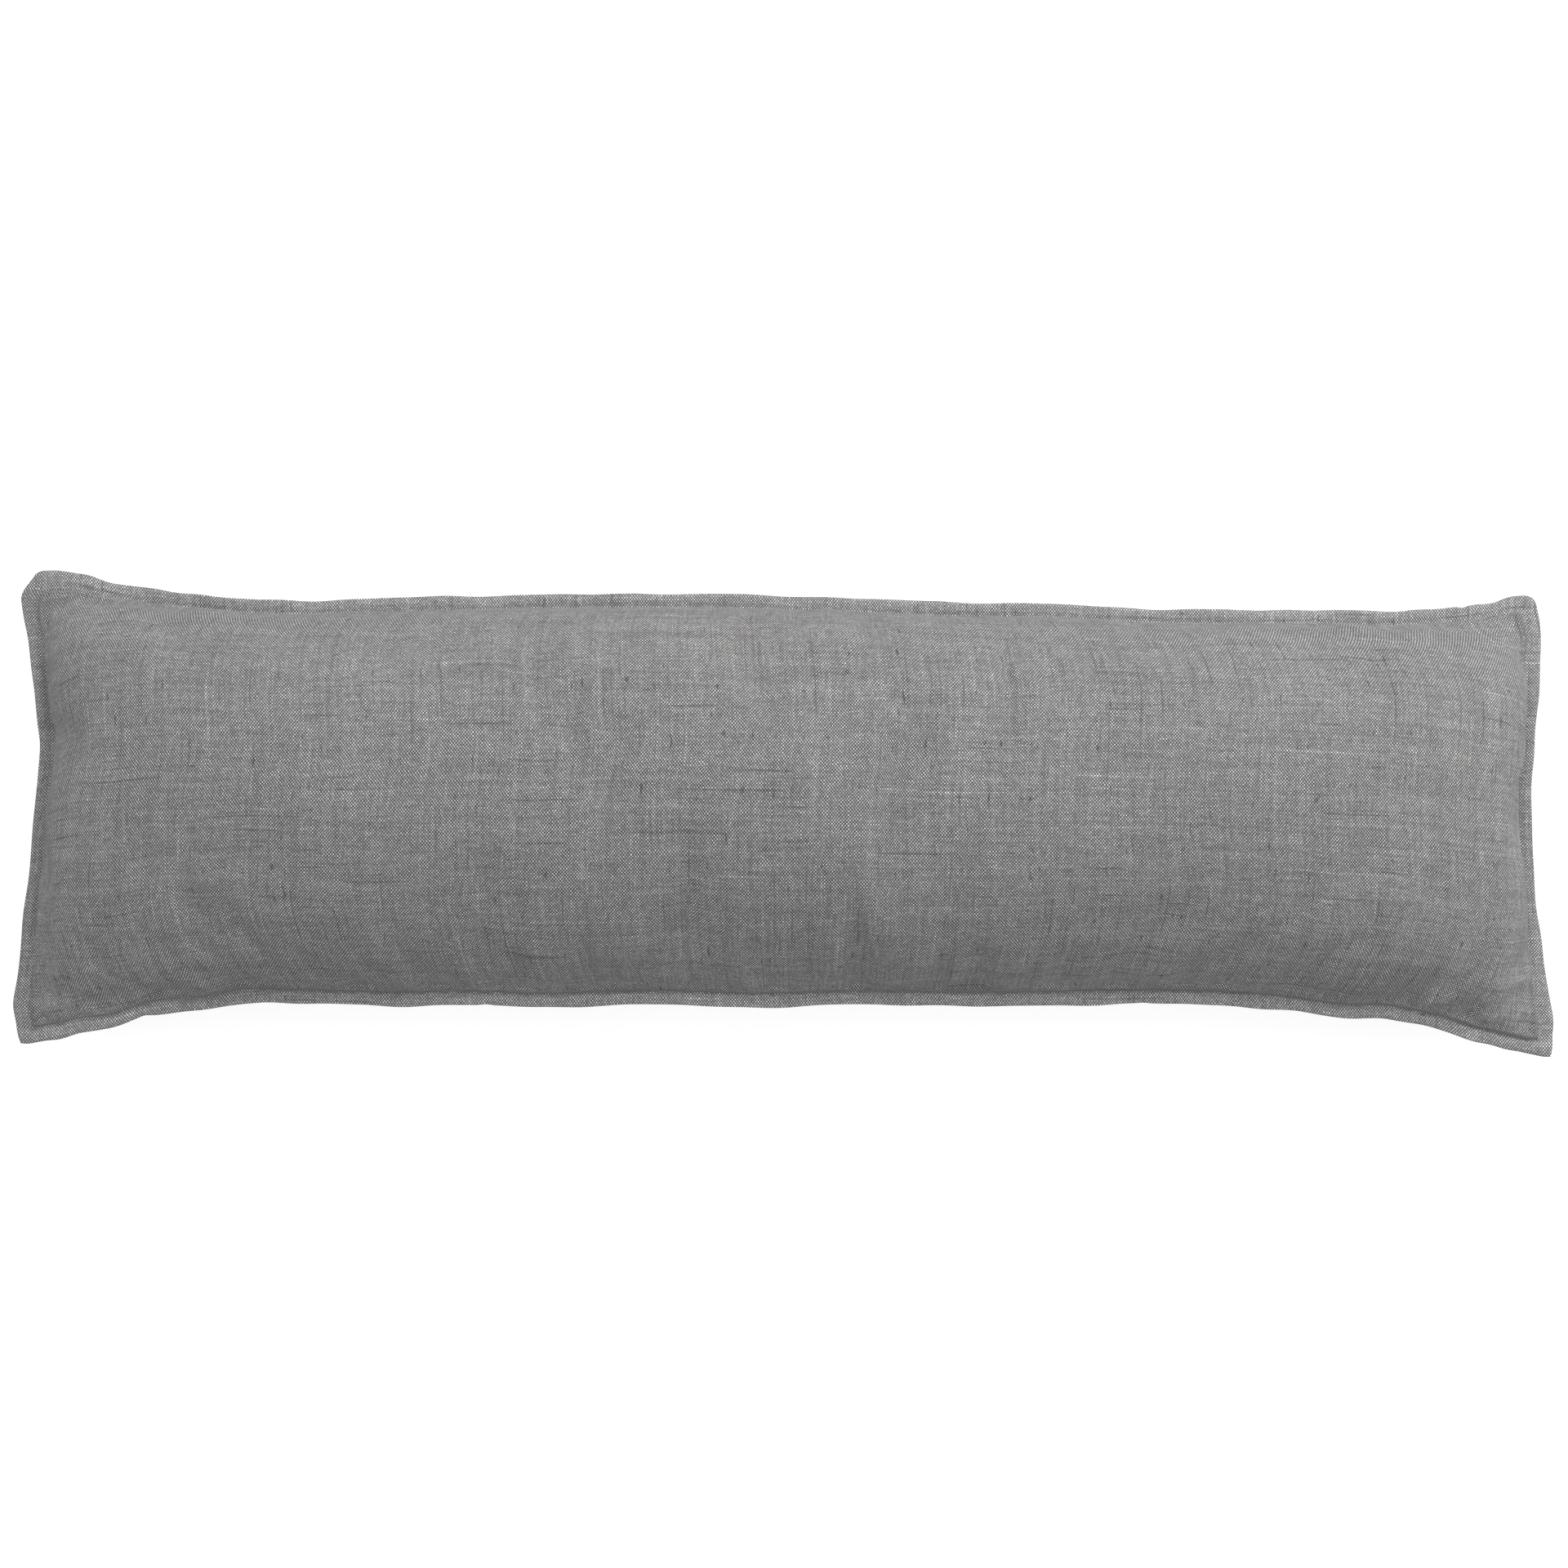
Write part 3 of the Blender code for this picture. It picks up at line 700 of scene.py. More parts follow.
# The filling presses the flange up along the lower seam
EDGE_LIFT = {"lower": 0.0050, "right": 0.0, "upper": 0.0, "left": 0.0}
PRESSED_EASE = 4.0  # the lift takes a quarter of the side to grow
PRESSED_PAINTED_LIGHT = 0.26  # painted light: how much lighter the inner part is painted there, as a power of e
GROOVE_SHARE = 0.2  # of the flange's width, that the seam's shade reaches over
FLANGE_SHADE = {"lower": 0.07, "right": 0.06, "upper": 0.0, "left": 0.18}  # over the rest of its width

# Waves of the free edge, counted once round the pillow: how far up and down, and how far in and out
RIPPLES = table(
    "count height width phase",
    (11, 0.0012, 0.0000, 0.20),
    (19, 0.0009, 0.0003, 0.65),
    (31, 0.0006, 0.0004, 0.40),
    (53, 0.0005, 0.0004, 0.85),
    (83, 0.0003, 0.0002, 0.10),
)

# Small folds: how far each dips below the rest, and how far it draws the free edge in
FOLDS = table(
    "side place width dip drawn_in",
    ("upper", -0.6600, 0.007, 0.0022, 0.0000),
    ("upper", -0.6400, 0.012, -0.0010, 0.0000),
    ("upper", 0.6500, 0.004, 0.0030, 0.0012),
    ("lower", -0.6080, 0.006, 0.0016, 0.0010),
    ("lower", -0.3960, 0.005, 0.0022, 0.0000),
    ("lower", -0.2820, 0.005, 0.0018, 0.0008),
    ("lower", 0.3420, 0.006, 0.0014, 0.0006),
    ("left", 0.0700, 0.010, 0.0016, 0.0004),
)
print(f"{len(RIPPLES)} waves and {len(FOLDS)} small folds in the flange")

# %% [markdown]
# ## Once round the pillow
#
# The section needs a place on the rim and one on the free edge, again and again all round. The four
# sides and the four corners between them are each a stretch of such places. At a corner the rim stays
# at one point and the edge fans out round it. Each stretch also says how far the edge is lifted and how
# much painted shade the cloth gets. The address on the cloth continues the panel's, so the threads run on.

# %% Once round the pillow
# the last two columns are painted shade, as powers of e: in the seam's groove and over the rest of the
# flange
Stretch = namedtuple("Stretch", "seam edge address lift pressed seam_dark flange_dark")


def folded(name, at):
    """The folds of a side at places along it: how far down, and how far in."""
    dip, drawn_in = np.zeros(len(at)), np.zeros(len(at))
    for fold in FOLDS:
        if fold.side == name:
            share = np.exp(-(((at - fold.place) / fold.width) ** 2))
            dip, drawn_in = dip + fold.dip * share, drawn_in + fold.drawn_in * share
    return dip, drawn_in


def outer_corner(name, steps):
    corner = CORNERS[name]
    end, side = SIDES[corner.end], SIDES[corner.side]
    inner = SEAM_CORNERS[name]
    start = side_points(end, inner[1], edge_across(end, inner[1]))
    stop = side_points(side, inner[0], edge_across(side, inner[0]))
    tip = np.array(end.edge[0] if side.inward > 0 else end.edge[-1])
    w = np.linspace(0, 1, steps + 1)[:, None]
    round_one = (1 - w) ** 2 * start + 2 * w * (1 - w) * tip + w**2 * stop
    pointed = np.where(w < 0.5, mix(start, tip, 2 * w), mix(tip, stop, 2 * w - 1))
    return mix(round_one, pointed, corner.sharpness)


def side_stretch(name, turned):
    side = SIDES[name]
    share = (stations(FLANGE_CELLS[name])[1:-1] + 1) / 2
    share = share[::-1] if turned else share
    seam = seam_points(name, share)
    at = seam[:, side.run]
    dip, drawn_in = folded(name, at)
    length, width = (PANEL_LENGTH, PANEL_WIDTH) if side.run == 0 else (PANEL_WIDTH, PANEL_LENGTH)
    pressed = ease(PRESSED_EASE * np.minimum(share, 1 - share)) * (EDGE_LIFT[name] > 0)
    return Stretch(
        seam=seam - side_points(side, 0, side.inward * PIECE_GAP),
        edge=side_points(side, at, edge_across(side, at) + side.inward * drawn_in),
        address=side_points(side, share * length, 0.0 if side.inward > 0 else width),
        lift=EDGE_LIFT[name] * pressed - dip,
        pressed=pressed,
        seam_dark=np.full(len(share), SEAM_SHADE[name]),
        flange_dark=np.full(len(share), FLANGE_SHADE[name]),
    )


def corner_stretch(name, turned):
    corner = CORNERS[name]
    inward = np.array((SIDES[corner.end].inward, SIDES[corner.side].inward))
    fan = outer_corner(name, CORNER_FAN_CELLS)
    count = len(fan)
    return Stretch(
        seam=np.tile(SEAM_CORNERS[name] - inward * PIECE_GAP, (count, 1)),
        edge=fan[::-1] if turned else fan,
        address=np.tile(np.where(inward > 0, 0.0, (PANEL_LENGTH, PANEL_WIDTH)), (count, 1)),
        lift=np.zeros(count),
        pressed=np.zeros(count),
        seam_dark=np.full(count, (SEAM_SHADE[corner.end] + SEAM_SHADE[corner.side]) / 2),
        flange_dark=np.full(count, (FLANGE_SHADE[corner.end] + FLANGE_SHADE[corner.side]) / 2),
    )


# Anticlockwise. A stretch whose own order runs the other way is turned.
stretches = (
    corner_stretch("lower_left", turned=False), side_stretch("lower", turned=False),
    corner_stretch("lower_right", turned=True), side_stretch("right", turned=False),
    corner_stretch("upper_right", turned=False), side_stretch("upper", turned=True),
    corner_stretch("upper_left", turned=True), side_stretch("left", turned=True),
)
around = Stretch(*(np.concatenate(column) for column in zip(*stretches)))
seam_line, free_edge = around.seam, around.edge
print(f"{len(seam_line)} places round the pillow")

# %% [markdown]
# ## The flange's mesh
#
# With the places known, the section is set up at each of them and joined to the next. It runs out along
# the top, over the fold and back along the bottom, so the ring is closed and two layers thick, as the
# sewn cloth is. Its painted shade follows the section too: painted shade in the stitches' groove and
# over the rest, and painted light where it is pressed up.

# %% The flange's mesh
def shares_of(points):
    low, high = SEAM_CORNERS["lower_left"], SEAM_CORNERS["upper_right"]
    shares = np.clip((points - low) / (high - low), 0, 1)
    return shares[:, 0], shares[:, 1]


def ring_mesh(name, rings, addresses):
    """A closed ring from cross-sections, rings[k] being the points of the k-th."""
    count, width = rings.shape[:2]
    bm = bmesh.new()
    verts = [[bm.verts.new(point) for point in ring] for ring in rings]
    for k in range(count):
        for m in range(width):
            n, p = (k + 1) % count, (m + 1) % width
            bm.faces.new((verts[k][m], verts[k][p], verts[n][p], verts[n][m]))
    bmesh.ops.recalc_face_normals(bm, faces=bm.faces)
    mesh = bpy.data.meshes.new(name)
    bm.to_mesh(mesh)
    bm.free()
    set_cloth_map(mesh, addresses.reshape(-1, 2))
    mesh.shade_smooth()
    return mesh


turn = np.linspace(0, 2 * math.pi, len(seam_line), endpoint=False)
edge_rise, edge_reach = around.lift - FLANGE_DROOP, 0.0
for ripple in RIPPLES:
    wave = np.sin(ripple.count * turn + 2 * math.pi * ripple.phase)
    edge_rise, edge_reach = edge_rise + ripple.height * wave, edge_reach + ripple.width * wave
outward = free_edge - seam_line
outward = outward * (1 + edge_reach / np.linalg.norm(outward, axis=1))[:, None]
seam_level = seam_height(*shares_of(seam_line))

out = np.array([point.out for point in FLANGE_SECTION])
thick = np.array([point.thick for point in FLANGE_SECTION]) * FLANGE_THICKNESS / 2
out = np.concatenate((out, [1.0], out[::-1]))
lift = np.concatenate((thick, [0.0], -thick[::-1]))
from_seam = outward[:, None, :] * out[:, None]
height = seam_level[:, None] + edge_rise[:, None] * np.clip(out, 0, None) ** RISE_CURVE + lift
flange_points = np.concatenate((seam_line[:, None, :] + from_seam, height[..., None]), axis=-1)
flange_address = around.address[:, None, :] + from_seam
flange = new_piece("pillow_flange", ring_mesh("pillow_flange", flange_points, flange_address))
# painted light on the pressed-up inner part, painted shade in the groove and over the rest of the flange
painted_light = PRESSED_PAINTED_LIGHT * (1 - out) * ease(out / GROOVE_SHARE)
in_groove = 1 - ease(out / GROOVE_SHARE)
shade = around.pressed[:, None] * painted_light - around.seam_dark[:, None] * in_groove
shade = shade - around.flange_dark[:, None] * (1 - in_groove)
set_shade(flange.data, shade.ravel())
print(f"{len(flange.data.polygons)} quads in the flange")

# %% [markdown]
# ## The topstitch
#
# One row of stitches holds the two panels together, and it shows on both sides as a dotted line where
# the body meets the flange. A bump in the material would do from afar, but the thread stands proud of
# the cloth and catches the light, so each stitch is a short, thin tube that dips into the cloth at both
# ends. All of them follow one line, which is cut into equal lengths by its arc length.

# %% The topstitch
STITCH_PITCH = 0.0030
STITCH_LENGTH = 0.0025
THREAD_RADIUS = 0.00030
STITCH_FROM_SEAM = 0.0012
STITCH_START = 0.08  # of a pitch, before each stitch
STITCH_DIP = 0.00035  # how deep the ends go in
STITCH_TAPER = 0.75  # how much of the tube's section the ends lose
THREAD_PROUD = 0.4  # of its radius, how high its middle lies over the cloth
UP = (0.0, 0.0, 1.0)
STITCH_SECTIONS = 5
THREAD_SIDES = 6


def stitch_line(upper):
    """Where the thread runs over the flange's upper or lower side."""
    unit = outward / np.linalg.norm(outward, axis=1)[:, None]
    nipped = NIPPED.thick * FLANGE_THICKNESS / 2 + THREAD_RADIUS * THREAD_PROUD
    share = STITCH_FROM_SEAM / np.linalg.norm(outward, axis=1)
    level = seam_level + edge_rise * share**RISE_CURVE + (nipped if upper else -nipped)
    line = np.column_stack((seam_line + unit * STITCH_FROM_SEAM, level))
    return np.concatenate((line, line[:1]))


def stitches_on(line, upper):
    """The vertices of a row of stitches, shape (stitch, section, side, 3)."""
    run = np.concatenate(([0], np.cumsum(np.linalg.norm(np.diff(line, axis=0), axis=1))))
    count = round(run[-1] / STITCH_PITCH)
    share = np.linspace(0, 1, STITCH_SECTIONS)
    at = (np.arange(count)[:, None] + STITCH_START) * run[-1] / count + share * STITCH_LENGTH
    centre = np.stack([np.interp(at % run[-1], run, line[:, axis]) for axis in range(3)], axis=-1)
    dip = STITCH_DIP * (2 * share - 1) ** 2
    centre[..., 2] += -dip if upper else dip
    forward = centre[:, -1] - centre[:, 0]
    forward = forward / np.linalg.norm(forward, axis=1)[:, None]
    sideways = np.cross(forward, UP)
    angle = np.linspace(0, 2 * math.pi, THREAD_SIDES, endpoint=False)
    radius = THREAD_RADIUS * np.sqrt(1 - STITCH_TAPER * (2 * share - 1) ** 4)
    ring = np.cos(angle)[:, None] * sideways[:, None, :] + np.sin(angle)[:, None] * np.array(UP)
    return centre[:, :, None, :] + ring[:, None, :, :] * radius[:, None, None]


rows = np.concatenate([stitches_on(stitch_line(upper), upper) for upper in (True, False)])
stitch_faces = []
for stitch in range(len(rows)):
    first = stitch * STITCH_SECTIONS * THREAD_SIDES
    for section in range(STITCH_SECTIONS - 1):
        base = first + section * THREAD_SIDES
        for side in range(THREAD_SIDES):
            a, b = base + side, base + (side + 1) % THREAD_SIDES
            stitch_faces.append((a, b, b + THREAD_SIDES, a + THREAD_SIDES))
    last = first + (STITCH_SECTIONS - 1) * THREAD_SIDES
    stitch_faces.append(tuple(range(first + THREAD_SIDES - 1, first - 1, -1)))
    stitch_faces.append(tuple(range(last, last + THREAD_SIDES)))
stitch_mesh = bpy.data.meshes.new("topstitch")
stitch_mesh.from_pydata(rows.reshape(-1, 3).tolist(), [], stitch_faces)
stitch_mesh.shade_smooth()
topstitch = new_piece("topstitch", stitch_mesh)
print(f"{len(rows)} stitches, on the upper and the lower side together")

# %% [markdown]
# ## Setting the pillow over the middle of the floor
#
# The tables hold the outline as it was measured, a fraction of a millimetre off centre. The solids were
# moved so that their box is centred over the origin, and the same move brings these pieces into their
# place.

# %% Setting the pillow over the middle of the floor
middle = (free_edge.min(axis=0) + free_edge.max(axis=0)) / 2
for piece in (body, flange, topstitch):
    set_coordinates(piece.data, coordinates(piece.data) - (*middle, 0.0))
print("moved by", (-middle * 1000).round(2).tolist(), "mm")

# %% [markdown]
# ## Small helpers for shader nodes
#
# A weave needs many small sums. Written as nodes and links one by one they hide the idea, so a few
# helpers take a number or another node's output alike, and make the node and its links in one line. A
# node group gets its named sockets from its interface.

# %% Small helpers for shader nodes
def feed(tree, socket, value):
    """Sets a socket to a number, or links another node's output to it."""
    if isinstance(value, bpy.types.NodeSocket):
        tree.links.new(value, socket)
    else:
        socket.default_value = value


def sums(tree, operation, *values):
    node = tree.nodes.new("ShaderNodeMath")
    node.operation = operation
    for socket, value in zip(node.inputs, values):
        feed(tree, socket, value)
    return node.outputs[0]


def vector_of(tree, x, y, z=0.0):
    node = tree.nodes.new("ShaderNodeCombineXYZ")
    for socket, value in zip(node.inputs, (x, y, z)):
        feed(tree, socket, value)
    return node.outputs[0]


def noise(tree, vector, detail=2.0, roughness=0.5):
    """Soft noise about 0.5, one cell to each unit of the vector."""
    node = tree.nodes.new("ShaderNodeTexNoise")
    node.inputs["Scale"].default_value = 1.0
    node.inputs["Detail"].default_value = detail
    node.inputs["Roughness"].default_value = roughness
    tree.links.new(vector, node.inputs["Vector"])
    return node.outputs["Fac"]


def ramp(tree, value, low, high, to_low=0.0, to_high=1.0):
    """Goes softly from to_low to to_high while the value goes from low to high."""
    node = tree.nodes.new("ShaderNodeMapRange")
    node.interpolation_type = "SMOOTHSTEP"
    names = ("Value", "From Min", "From Max", "To Min", "To Max")
    for name, number in zip(names, (value, low, high, to_low, to_high)):
        feed(tree, node.inputs[name], number)
    return node.outputs["Result"]


def new_group(name, inputs, outputs):
    """A shader node group. inputs and outputs are pairs of a name and a kind of value."""
    tree = bpy.data.node_groups.new(name, "ShaderNodeTree")
    for direction, sockets in (("INPUT", inputs), ("OUTPUT", outputs)):
        for socket_name, kind in sockets:
            tree.interface.new_socket(name=socket_name, in_out=direction, socket_type=f"NodeSocket{kind}")
    return tree, tree.nodes.new("NodeGroupInput").outputs, tree.nodes.new("NodeGroupOutput").inputs


def split(tree, vector):
    node = tree.nodes.new("ShaderNodeSeparateXYZ")
    tree.links.new(vector, node.inputs[0])
    return node.outputs["X"], node.outputs["Y"]


print("helpers for nodes are ready")

# %% [markdown]
# ## Plain weave
#
# In a plain weave each weft thread goes over one warp thread and under the next. Seen from above that
# is a checkerboard. The product of two sine waves, one across the warp and one across the weft, is such
# a checkerboard: it is positive where the warp lies on top and negative where the weft does, and its
# size is how far the upper thread bulges. Spun threads wander, so slow noise first moves them a little
# sideways, and white noise gives each crossing its own size, without which the cloth looks printed. The
# group also puts out the number of the warp and weft thread at each place, so that other effects follow
# the same wandering threads.

# %% Plain weave
STRAY_ACROSS = 160.0  # changes of a thread's wandering to each metre, across the threads and along them
STRAY_ALONG = 22.0
LEAST_CROSSING = 0.65
CROSSING_SPREAD = 0.70
THREAD_ROUND = 0.6  # the power that makes the threads' tops broad and the gaps between them narrow

weave_group, given, result = new_group(
    "plain_weave",
    (("Cloth", "Vector"), ("Warp Spacing", "Float"), ("Weft Spacing", "Float"), ("Wander", "Float")),
    (("Over", "Float"), ("Height", "Float"), ("Warp", "Float"), ("Weft", "Float")),
)
along, across = split(weave_group, given["Cloth"])
weave_math = partial(sums, weave_group)
waves, numbers = [], []
# lane is the slice of the noise that a thread reads, so that warp and weft wander apart
for thread_name, place, other, lane in (("Warp", along, across, 0.0), ("Weft", across, along, 37.0)):
    near = weave_math("MULTIPLY", place, STRAY_ACROSS)
    far = weave_math("MULTIPLY", other, STRAY_ALONG)
    stray = weave_math("SUBTRACT", noise(weave_group, vector_of(weave_group, near, far, lane)), 0.5)
    moved_place = weave_math("MULTIPLY_ADD", stray, given["Wander"], place)
    turns = weave_math("DIVIDE", moved_place, given[f"{thread_name} Spacing"])
    feed(weave_group, result[thread_name], turns)
    waves.append(weave_math("SINE", weave_math("MULTIPLY", turns, math.pi)))
    numbers.append(weave_math("FLOOR", turns))
crossing = weave_group.nodes.new("ShaderNodeTexWhiteNoise")
crossing.noise_dimensions = "2D"
feed(weave_group, crossing.inputs["Vector"], vector_of(weave_group, *numbers))
size = weave_math("MULTIPLY_ADD", crossing.outputs["Value"], CROSSING_SPREAD, LEAST_CROSSING)
over = weave_math("MULTIPLY", *waves)
feed(weave_group, result["Over"], weave_math("MULTIPLY", over, size))
feed(weave_group, result["Height"], weave_math("POWER", weave_math("ABSOLUTE", over), THREAD_ROUND))
print("node group:", weave_group.name)

# %% [markdown]
# ## Linen yarns
#
# Flax spins unevenly. A thread is thick and pale for a few centimetres, then thin and dark. Noise
# stretched along the threads gives the streaks. Now and then one thread stands out, and for that the
# thread's number is rounded down first, so that it differs sharply from the next. Slubs are short thick
# places, a few threads wide, where noise passes a limit. Neps are small dark knots, from a Voronoi
# texture of which only a few cells are used. Everything is built for the warp and again for the weft,
# and the two are added up.

# %% Linen yarns
# Noise that is long along a thread: its cells from one thread to the next and to each metre of thread
STREAKS = table(
    "to_thread to_metre weight lane detail",
    (0.55, 7.0, 1.15, 0.0, 3.0),  # long streaks
    (0.90, 55.0, 1.10, 9.0, 2.0),  # short ones
    (0.12, 5.0, 0.50, 3.0, 2.0),  # bands of several threads
)
NOISE_ROUGHNESS = 0.6
# Single threads that stand out: where in the noise that starts and ends, and the change of tone at each
SINGLE_TO_THREAD = 7.31
SINGLE_TO_METRE = 5.0
SINGLE_LANE = 12.0
PALE_SINGLES = (0.65, 0.73, 0.0, 0.45)
DARK_SINGLES = (0.28, 0.36, 0.65, 0.0)
SLUB_TO_THREAD = 0.36
SLUB_TO_METRE = 42.0
SLUB_LANE = 6.0
SLUB_LIMIT = {"Warp": 0.655, "Weft": 0.69}
SLUB_EDGE = 0.05
NEP_CELLS = (34.0, 22.0)  # to each metre, along the pillow and across it
NEP_CHOSEN = (0.70, 0.85)  # random values of the cells that hold one
NEP_SIZE = (0.03, 0.10, 1.0, 0.0)  # from its dark middle to its edge, in cells

yarn_group, given, result = new_group(
    "linen_yarns",
    (("Cloth", "Vector"), ("Warp", "Float"), ("Weft", "Float")),
    (("Tone", "Float"), ("Slub", "Float"), ("Nep", "Float")),
)
yarn_math = partial(sums, yarn_group)
along, across = split(yarn_group, given["Cloth"])


def stretched(number, to_thread, place, to_metre, lane, detail):
    """Noise in linen_yarns that is long along a thread."""
    across_threads = yarn_math("MULTIPLY", number, to_thread)
    along_thread = yarn_math("MULTIPLY", place, to_metre)
    vector = vector_of(yarn_group, across_threads, along_thread, lane)
    return noise(yarn_group, vector, detail, NOISE_ROUGHNESS)


tones, slubs = [], []
for thread_name, place, lane in (("Warp", across, 5.0), ("Weft", along, 71.0)):
    number, tone = given[thread_name], 0.0
    for row in STREAKS:
        streak = stretched(number, row.to_thread, place, row.to_metre, lane + row.lane, row.detail)
        tone = yarn_math("MULTIPLY_ADD", streak, row.weight, tone)
    own = yarn_math("FLOOR", number)
    single = stretched(own, SINGLE_TO_THREAD, place, SINGLE_TO_METRE, lane + SINGLE_LANE, 2.0)
    tone = yarn_math("ADD", tone, ramp(yarn_group, single, *PALE_SINGLES))
    tone = yarn_math("SUBTRACT", tone, ramp(yarn_group, single, *DARK_SINGLES))
    tones.append(yarn_math("SUBTRACT", tone, sum(row.weight for row in STREAKS) / 2))
    thick = stretched(number, SLUB_TO_THREAD, place, SLUB_TO_METRE, lane + SLUB_LANE, 3.0)
    limit = SLUB_LIMIT[thread_name]
    slubs.append(ramp(yarn_group, thick, limit, limit + SLUB_EDGE))
feed(yarn_group, result["Tone"], yarn_math("ADD", *tones))
feed(yarn_group, result["Slub"], yarn_math("MAXIMUM", *slubs))
cells = yarn_group.nodes.new("ShaderNodeTexVoronoi")
cells.inputs["Scale"].default_value = 1.0
nep_place = [yarn_math("MULTIPLY", place, count) for place, count in zip((along, across), NEP_CELLS)]
feed(yarn_group, cells.inputs["Vector"], vector_of(yarn_group, *nep_place))
chosen = ramp(yarn_group, split(yarn_group, cells.outputs["Color"])[0], *NEP_CHOSEN)
near = ramp(yarn_group, cells.outputs["Distance"], *NEP_SIZE)
feed(yarn_group, result["Nep"], yarn_math("MULTIPLY", chosen, near))
print("node group:", yarn_group.name)

# %% [markdown]
# ## The linen
#
# Both groups meet in one material function, used for the panels and, with its own values, for the
# flange. The flange is the same linen, but its colour is made lighter than the panels', as painted
# light. The weave, the streaks, the slubs and the neps are added up and raised as a power of e, so
# each of them makes the cloth lighter or darker by a share, and none can make it negative. The weave's
# share is painted light and shade: crossings with the warp on top are painted lighter and those with the
# weft on top darker, as the lamps would light their bulges. The weave and the slubs also lift a bump, so
# that light from the side picks out the threads. The painted shade that the meshes store is added as
# well. The cloth is matt, and a little sheen stands for the fine fibres that brighten it where it turns
# away.

# %% The linen
WARP_SPACING = 0.00140
WEFT_SPACING = 0.00166
# The flange's colour is the same linen's, made lighter as painted light. The weave's contrast is painted
# light and shade on the crossings.
CLOTH_LOOKS = named_rows(
    "colour weave_contrast tone_contrast slub_contrast nep_contrast",
    linen_panels=((0.233, 0.233, 0.234), 1.30, 0.60, 0.75, 0.60),
    linen_flange=((0.294, 0.294, 0.295), 1.30, 0.60, 0.60, 0.30),
)
WEAVE_RELIEF = 0.00016
SLUB_RELIEF = 0.00012
THREAD_WANDER = 0.0016
LINEN_ROUGHNESS = 0.95
LINEN_SHEEN = 0.22
LINEN_SPECULAR = 0.20


def use_group(tree, group, values):
    node = tree.nodes.new("ShaderNodeGroup")
    node.node_tree = group
    for name, value in values.items():
        feed(tree, node.inputs[name], value)
    return node.outputs


def linen(name, cloth_look):
    material = bpy.data.materials.new(name)
    material.use_nodes = True
    tree = material.node_tree
    shader = tree.nodes["Principled BSDF"]
    cloth_map = tree.nodes.new("ShaderNodeUVMap")
    cloth_map.uv_map = CLOTH_MAP
    cloth = {"Cloth": cloth_map.outputs["UV"]}
    spacing = {"Warp Spacing": WARP_SPACING, "Weft Spacing": WEFT_SPACING, "Wander": THREAD_WANDER}
    weave = use_group(tree, weave_group, {**cloth, **spacing})
    yarns = use_group(tree, yarn_group, {**cloth, "Warp": weave["Warp"], "Weft": weave["Weft"]})
    # painted light and shade: crossings with the warp on top lighter, with the weft on top darker
    light = sums(tree, "MULTIPLY", weave["Over"], cloth_look.weave_contrast)
    light = sums(tree, "MULTIPLY_ADD", yarns["Tone"], cloth_look.tone_contrast, light)
    light = sums(tree, "MULTIPLY_ADD", yarns["Slub"], -cloth_look.slub_contrast, light)
    light = sums(tree, "MULTIPLY_ADD", yarns["Nep"], -cloth_look.nep_contrast, light)
    shade_here = tree.nodes.new("ShaderNodeAttribute")
    shade_here.attribute_name = SHADE
    light = sums(tree, "ADD", light, shade_here.outputs["Fac"])
    colour = tree.nodes.new("ShaderNodeVectorMath")
    colour.operation = "SCALE"
    colour.inputs[0].default_value = cloth_look.colour
    tree.links.new(sums(tree, "EXPONENT", light), colour.inputs["Scale"])
    tree.links.new(colour.outputs["Vector"], shader.inputs["Base Color"])
    height = sums(tree, "MULTIPLY", weave["Height"], WEAVE_RELIEF)
    height = sums(tree, "MULTIPLY_ADD", yarns["Slub"], SLUB_RELIEF, height)
    bump = tree.nodes.new("ShaderNodeBump")
    bump.inputs["Distance"].default_value = 1.0  # the height is in metres already
    tree.links.new(height, bump.inputs["Height"])
    tree.links.new(bump.outputs["Normal"], shader.inputs["Normal"])
    shader.inputs["Roughness"].default_value = LINEN_ROUGHNESS
    shader.inputs["Specular IOR Level"].default_value = LINEN_SPECULAR
    shader.inputs["Sheen Weight"].default_value = LINEN_SHEEN
    material.diffuse_color = (*cloth_look.colour, 1.0)
    return material


for piece, (name, cloth_look) in zip((body, flange), CLOTH_LOOKS.items()):
    piece.data.materials.clear()
    piece.data.materials.append(linen(name, cloth_look))
print("materials:", [piece.data.materials[0].name for piece in (body, flange)])

# %% [markdown]
# ## The sewing thread
#
# The thread is about as grey as the cloth. Its own twist is too fine to see. Some stitches are pulled
# deeper into the linen than others and lie in more shade, and noise of about a stitch's length paints
# that shade on at random, in object coordinates, since the stitches have no map of their own.

# %% The sewing thread
THREAD_SHADED = (0.18, 0.18, 0.18, 1.0)
THREAD_LIT = (0.30, 0.30, 0.30, 1.0)
SHADED_TO_LIT = (0.35, 0.65)  # of the noise, from the painted shade to the lit colour
THREAD_ROUGHNESS = 0.7
THREAD_SPECULAR = 0.3

thread = bpy.data.materials.new("sewing_thread")
thread.use_nodes = True
tree = thread.node_tree
place = tree.nodes.new("ShaderNodeTexCoord").outputs["Object"]
scaled = tree.nodes.new("ShaderNodeVectorMath")
scaled.operation = "SCALE"
scaled.inputs["Scale"].default_value = 1 / STITCH_PITCH
tree.links.new(place, scaled.inputs[0])
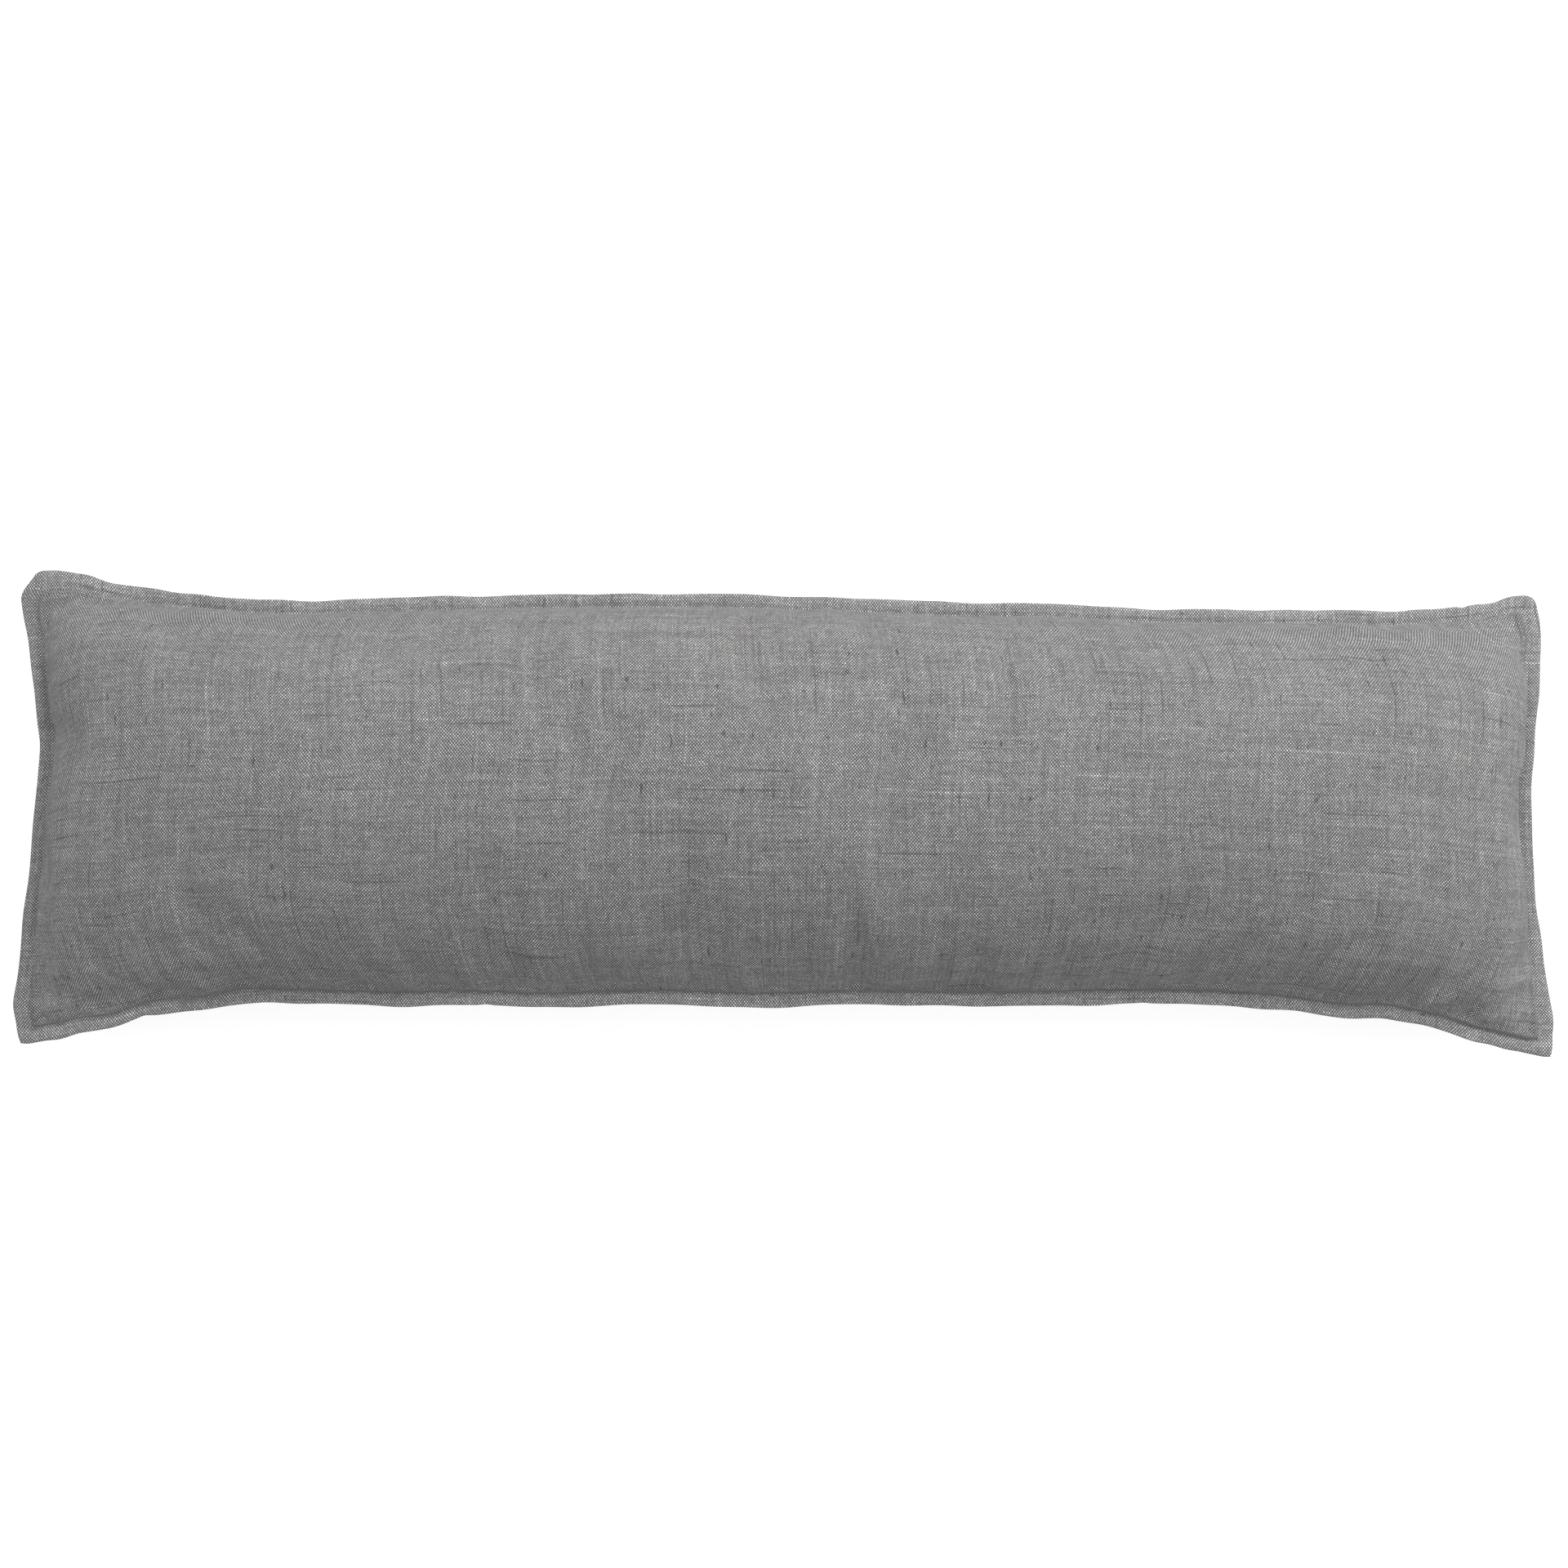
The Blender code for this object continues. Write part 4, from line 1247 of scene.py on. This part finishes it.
# painted shade: stitches pulled deeper are painted darker
thread_shading = tree.nodes.new("ShaderNodeMix")
thread_shading.data_type = "RGBA"
thread_shading.inputs["A"].default_value = THREAD_SHADED
thread_shading.inputs["B"].default_value = THREAD_LIT
feed(tree, thread_shading.inputs["Factor"], ramp(tree, noise(tree, scaled.outputs["Vector"]), *SHADED_TO_LIT))
shader = tree.nodes["Principled BSDF"]
tree.links.new(thread_shading.outputs["Result"], shader.inputs["Base Color"])
shader.inputs["Roughness"].default_value = THREAD_ROUGHNESS
shader.inputs["Specular IOR Level"].default_value = THREAD_SPECULAR
topstitch.data.materials.append(thread)
print("material:", thread.name)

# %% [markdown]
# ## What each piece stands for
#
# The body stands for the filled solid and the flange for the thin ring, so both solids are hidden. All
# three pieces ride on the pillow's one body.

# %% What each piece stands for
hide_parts("filled_body")
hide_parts("flange")
for piece in (body, flange, topstitch):
    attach(piece, "root")

# %% [markdown]
# ## The floor
#
# The floor is plain and glows, as a lit sweep does in a studio, so the pillow lies on white and throws
# only a faint shadow. It glows for the camera alone. All other rays meet a darker floor, or it would
# light the pillow's sides from below.

# %% The floor
FLOOR_SIZE = 40.0
FLOOR_COLOUR = (0.45, 0.45, 0.45, 1.0)
FLOOR_BOUNCE = (0.15, 0.15, 0.15, 1.0)  # what it sends back to the pillow
FLOOR_GLOW = 0.82
WHITE = (1.0, 1.0, 1.0, 1.0)

floor_mesh = bpy.data.meshes.new("floor")
half = FLOOR_SIZE / 2
floor_corners = [(-half, -half, 0), (half, -half, 0), (half, half, 0), (-half, half, 0)]
floor_mesh.from_pydata(floor_corners, [], [(0, 1, 2, 3)])
floor = new_piece("floor", floor_mesh)
floor_material = bpy.data.materials.new("pale_floor")
floor_material.use_nodes = True
floor_tree = floor_material.node_tree
floor_shader = floor_tree.nodes["Principled BSDF"]
floor_shader.inputs["Roughness"].default_value = 1.0
floor_shader.inputs["Specular IOR Level"].default_value = 0.0
floor_shader.inputs["Emission Color"].default_value = WHITE
seen = floor_tree.nodes.new("ShaderNodeLightPath").outputs["Is Camera Ray"]
pale = floor_tree.nodes.new("ShaderNodeMix")
pale.data_type = "RGBA"
feed(floor_tree, pale.inputs["Factor"], seen)
pale.inputs["A"].default_value = FLOOR_BOUNCE
pale.inputs["B"].default_value = FLOOR_COLOUR
feed(floor_tree, floor_shader.inputs["Base Color"], pale.outputs["Result"])
feed(floor_tree, floor_shader.inputs["Emission Strength"], sums(floor_tree, "MULTIPLY", seen, FLOOR_GLOW))
floor_mesh.materials.append(floor_material)
floor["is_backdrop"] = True
print(f"a floor of {FLOOR_SIZE:.0f} m")

# %% [markdown]
# ## The light
#
# The key is a large soft lamp beyond the pillow's upper side and a little to its right, so the surface
# is brightest there and darkens towards the lower seam. Two more lamps keep the ends apart from the
# floor, the right one stronger than the left. The rest is even light from the sky, a little stronger
# from the key's side, without which the lower side would go black. The camera sees a plain backdrop
# instead of that sky.

# %% The light
SKY_STRENGTH = 0.63
SKY_SLOPE = 0.21  # how much brighter the sky is towards +Y, and darker towards -Y
BACKDROP_STRENGTH = 0.97
LAMPS = table(
    "name direction distance size power",
    ("key", (0.32, 0.74, 0.60), 3.6, 2.2, 38.0),
    ("right_side", (0.90, 0.30, 0.42), 3.6, 2.0, 28.0),
    ("left_side", (-0.80, 0.55, 0.30), 3.6, 2.0, 9.0),
)

for lamp in LAMPS:
    light_data = bpy.data.lights.new(lamp.name, "AREA")
    light_data.size = lamp.size
    light_data.energy = lamp.power
    light = new_piece(lamp.name, light_data)
    direction = Vector(lamp.direction).normalized()
    light.location = direction * lamp.distance
    light.rotation_euler = direction.to_track_quat("Z", "Y").to_euler()

world = bpy.data.worlds.new("studio")
scene.world = world
world.use_nodes = True
tree = world.node_tree
sky = tree.nodes["Background"]
sky.inputs["Color"].default_value = WHITE
towards = split(tree, tree.nodes.new("ShaderNodeTexCoord").outputs["Generated"])[1]
lit = sums(tree, "MULTIPLY_ADD", towards, SKY_SLOPE, SKY_STRENGTH)
seen = tree.nodes.new("ShaderNodeLightPath").outputs["Is Camera Ray"]
backdrop = tree.nodes.new("ShaderNodeMix")
for name, value in (("Factor", seen), ("A", lit), ("B", BACKDROP_STRENGTH)):
    feed(tree, backdrop.inputs[name], value)
feed(tree, sky.inputs["Strength"], backdrop.outputs["Result"])
scene.view_settings.view_transform = "Standard"
print(f"{len(LAMPS)} lamps and a sky")

# %% [markdown]
# ## The two boxes
#
# The visible pillow must be as large as the solids, give or take what soft cloth stands proud. The
# last cell prints by how much its box is larger than the solids' box.

# %% The two boxes
visual_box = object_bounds()
grown = [round((a - b) * 1000, 1) for a, b in zip(visual_box[1] - visual_box[0], cad_box[1] - cad_box[0])]
print("larger than the CAD box by", grown, "mm")
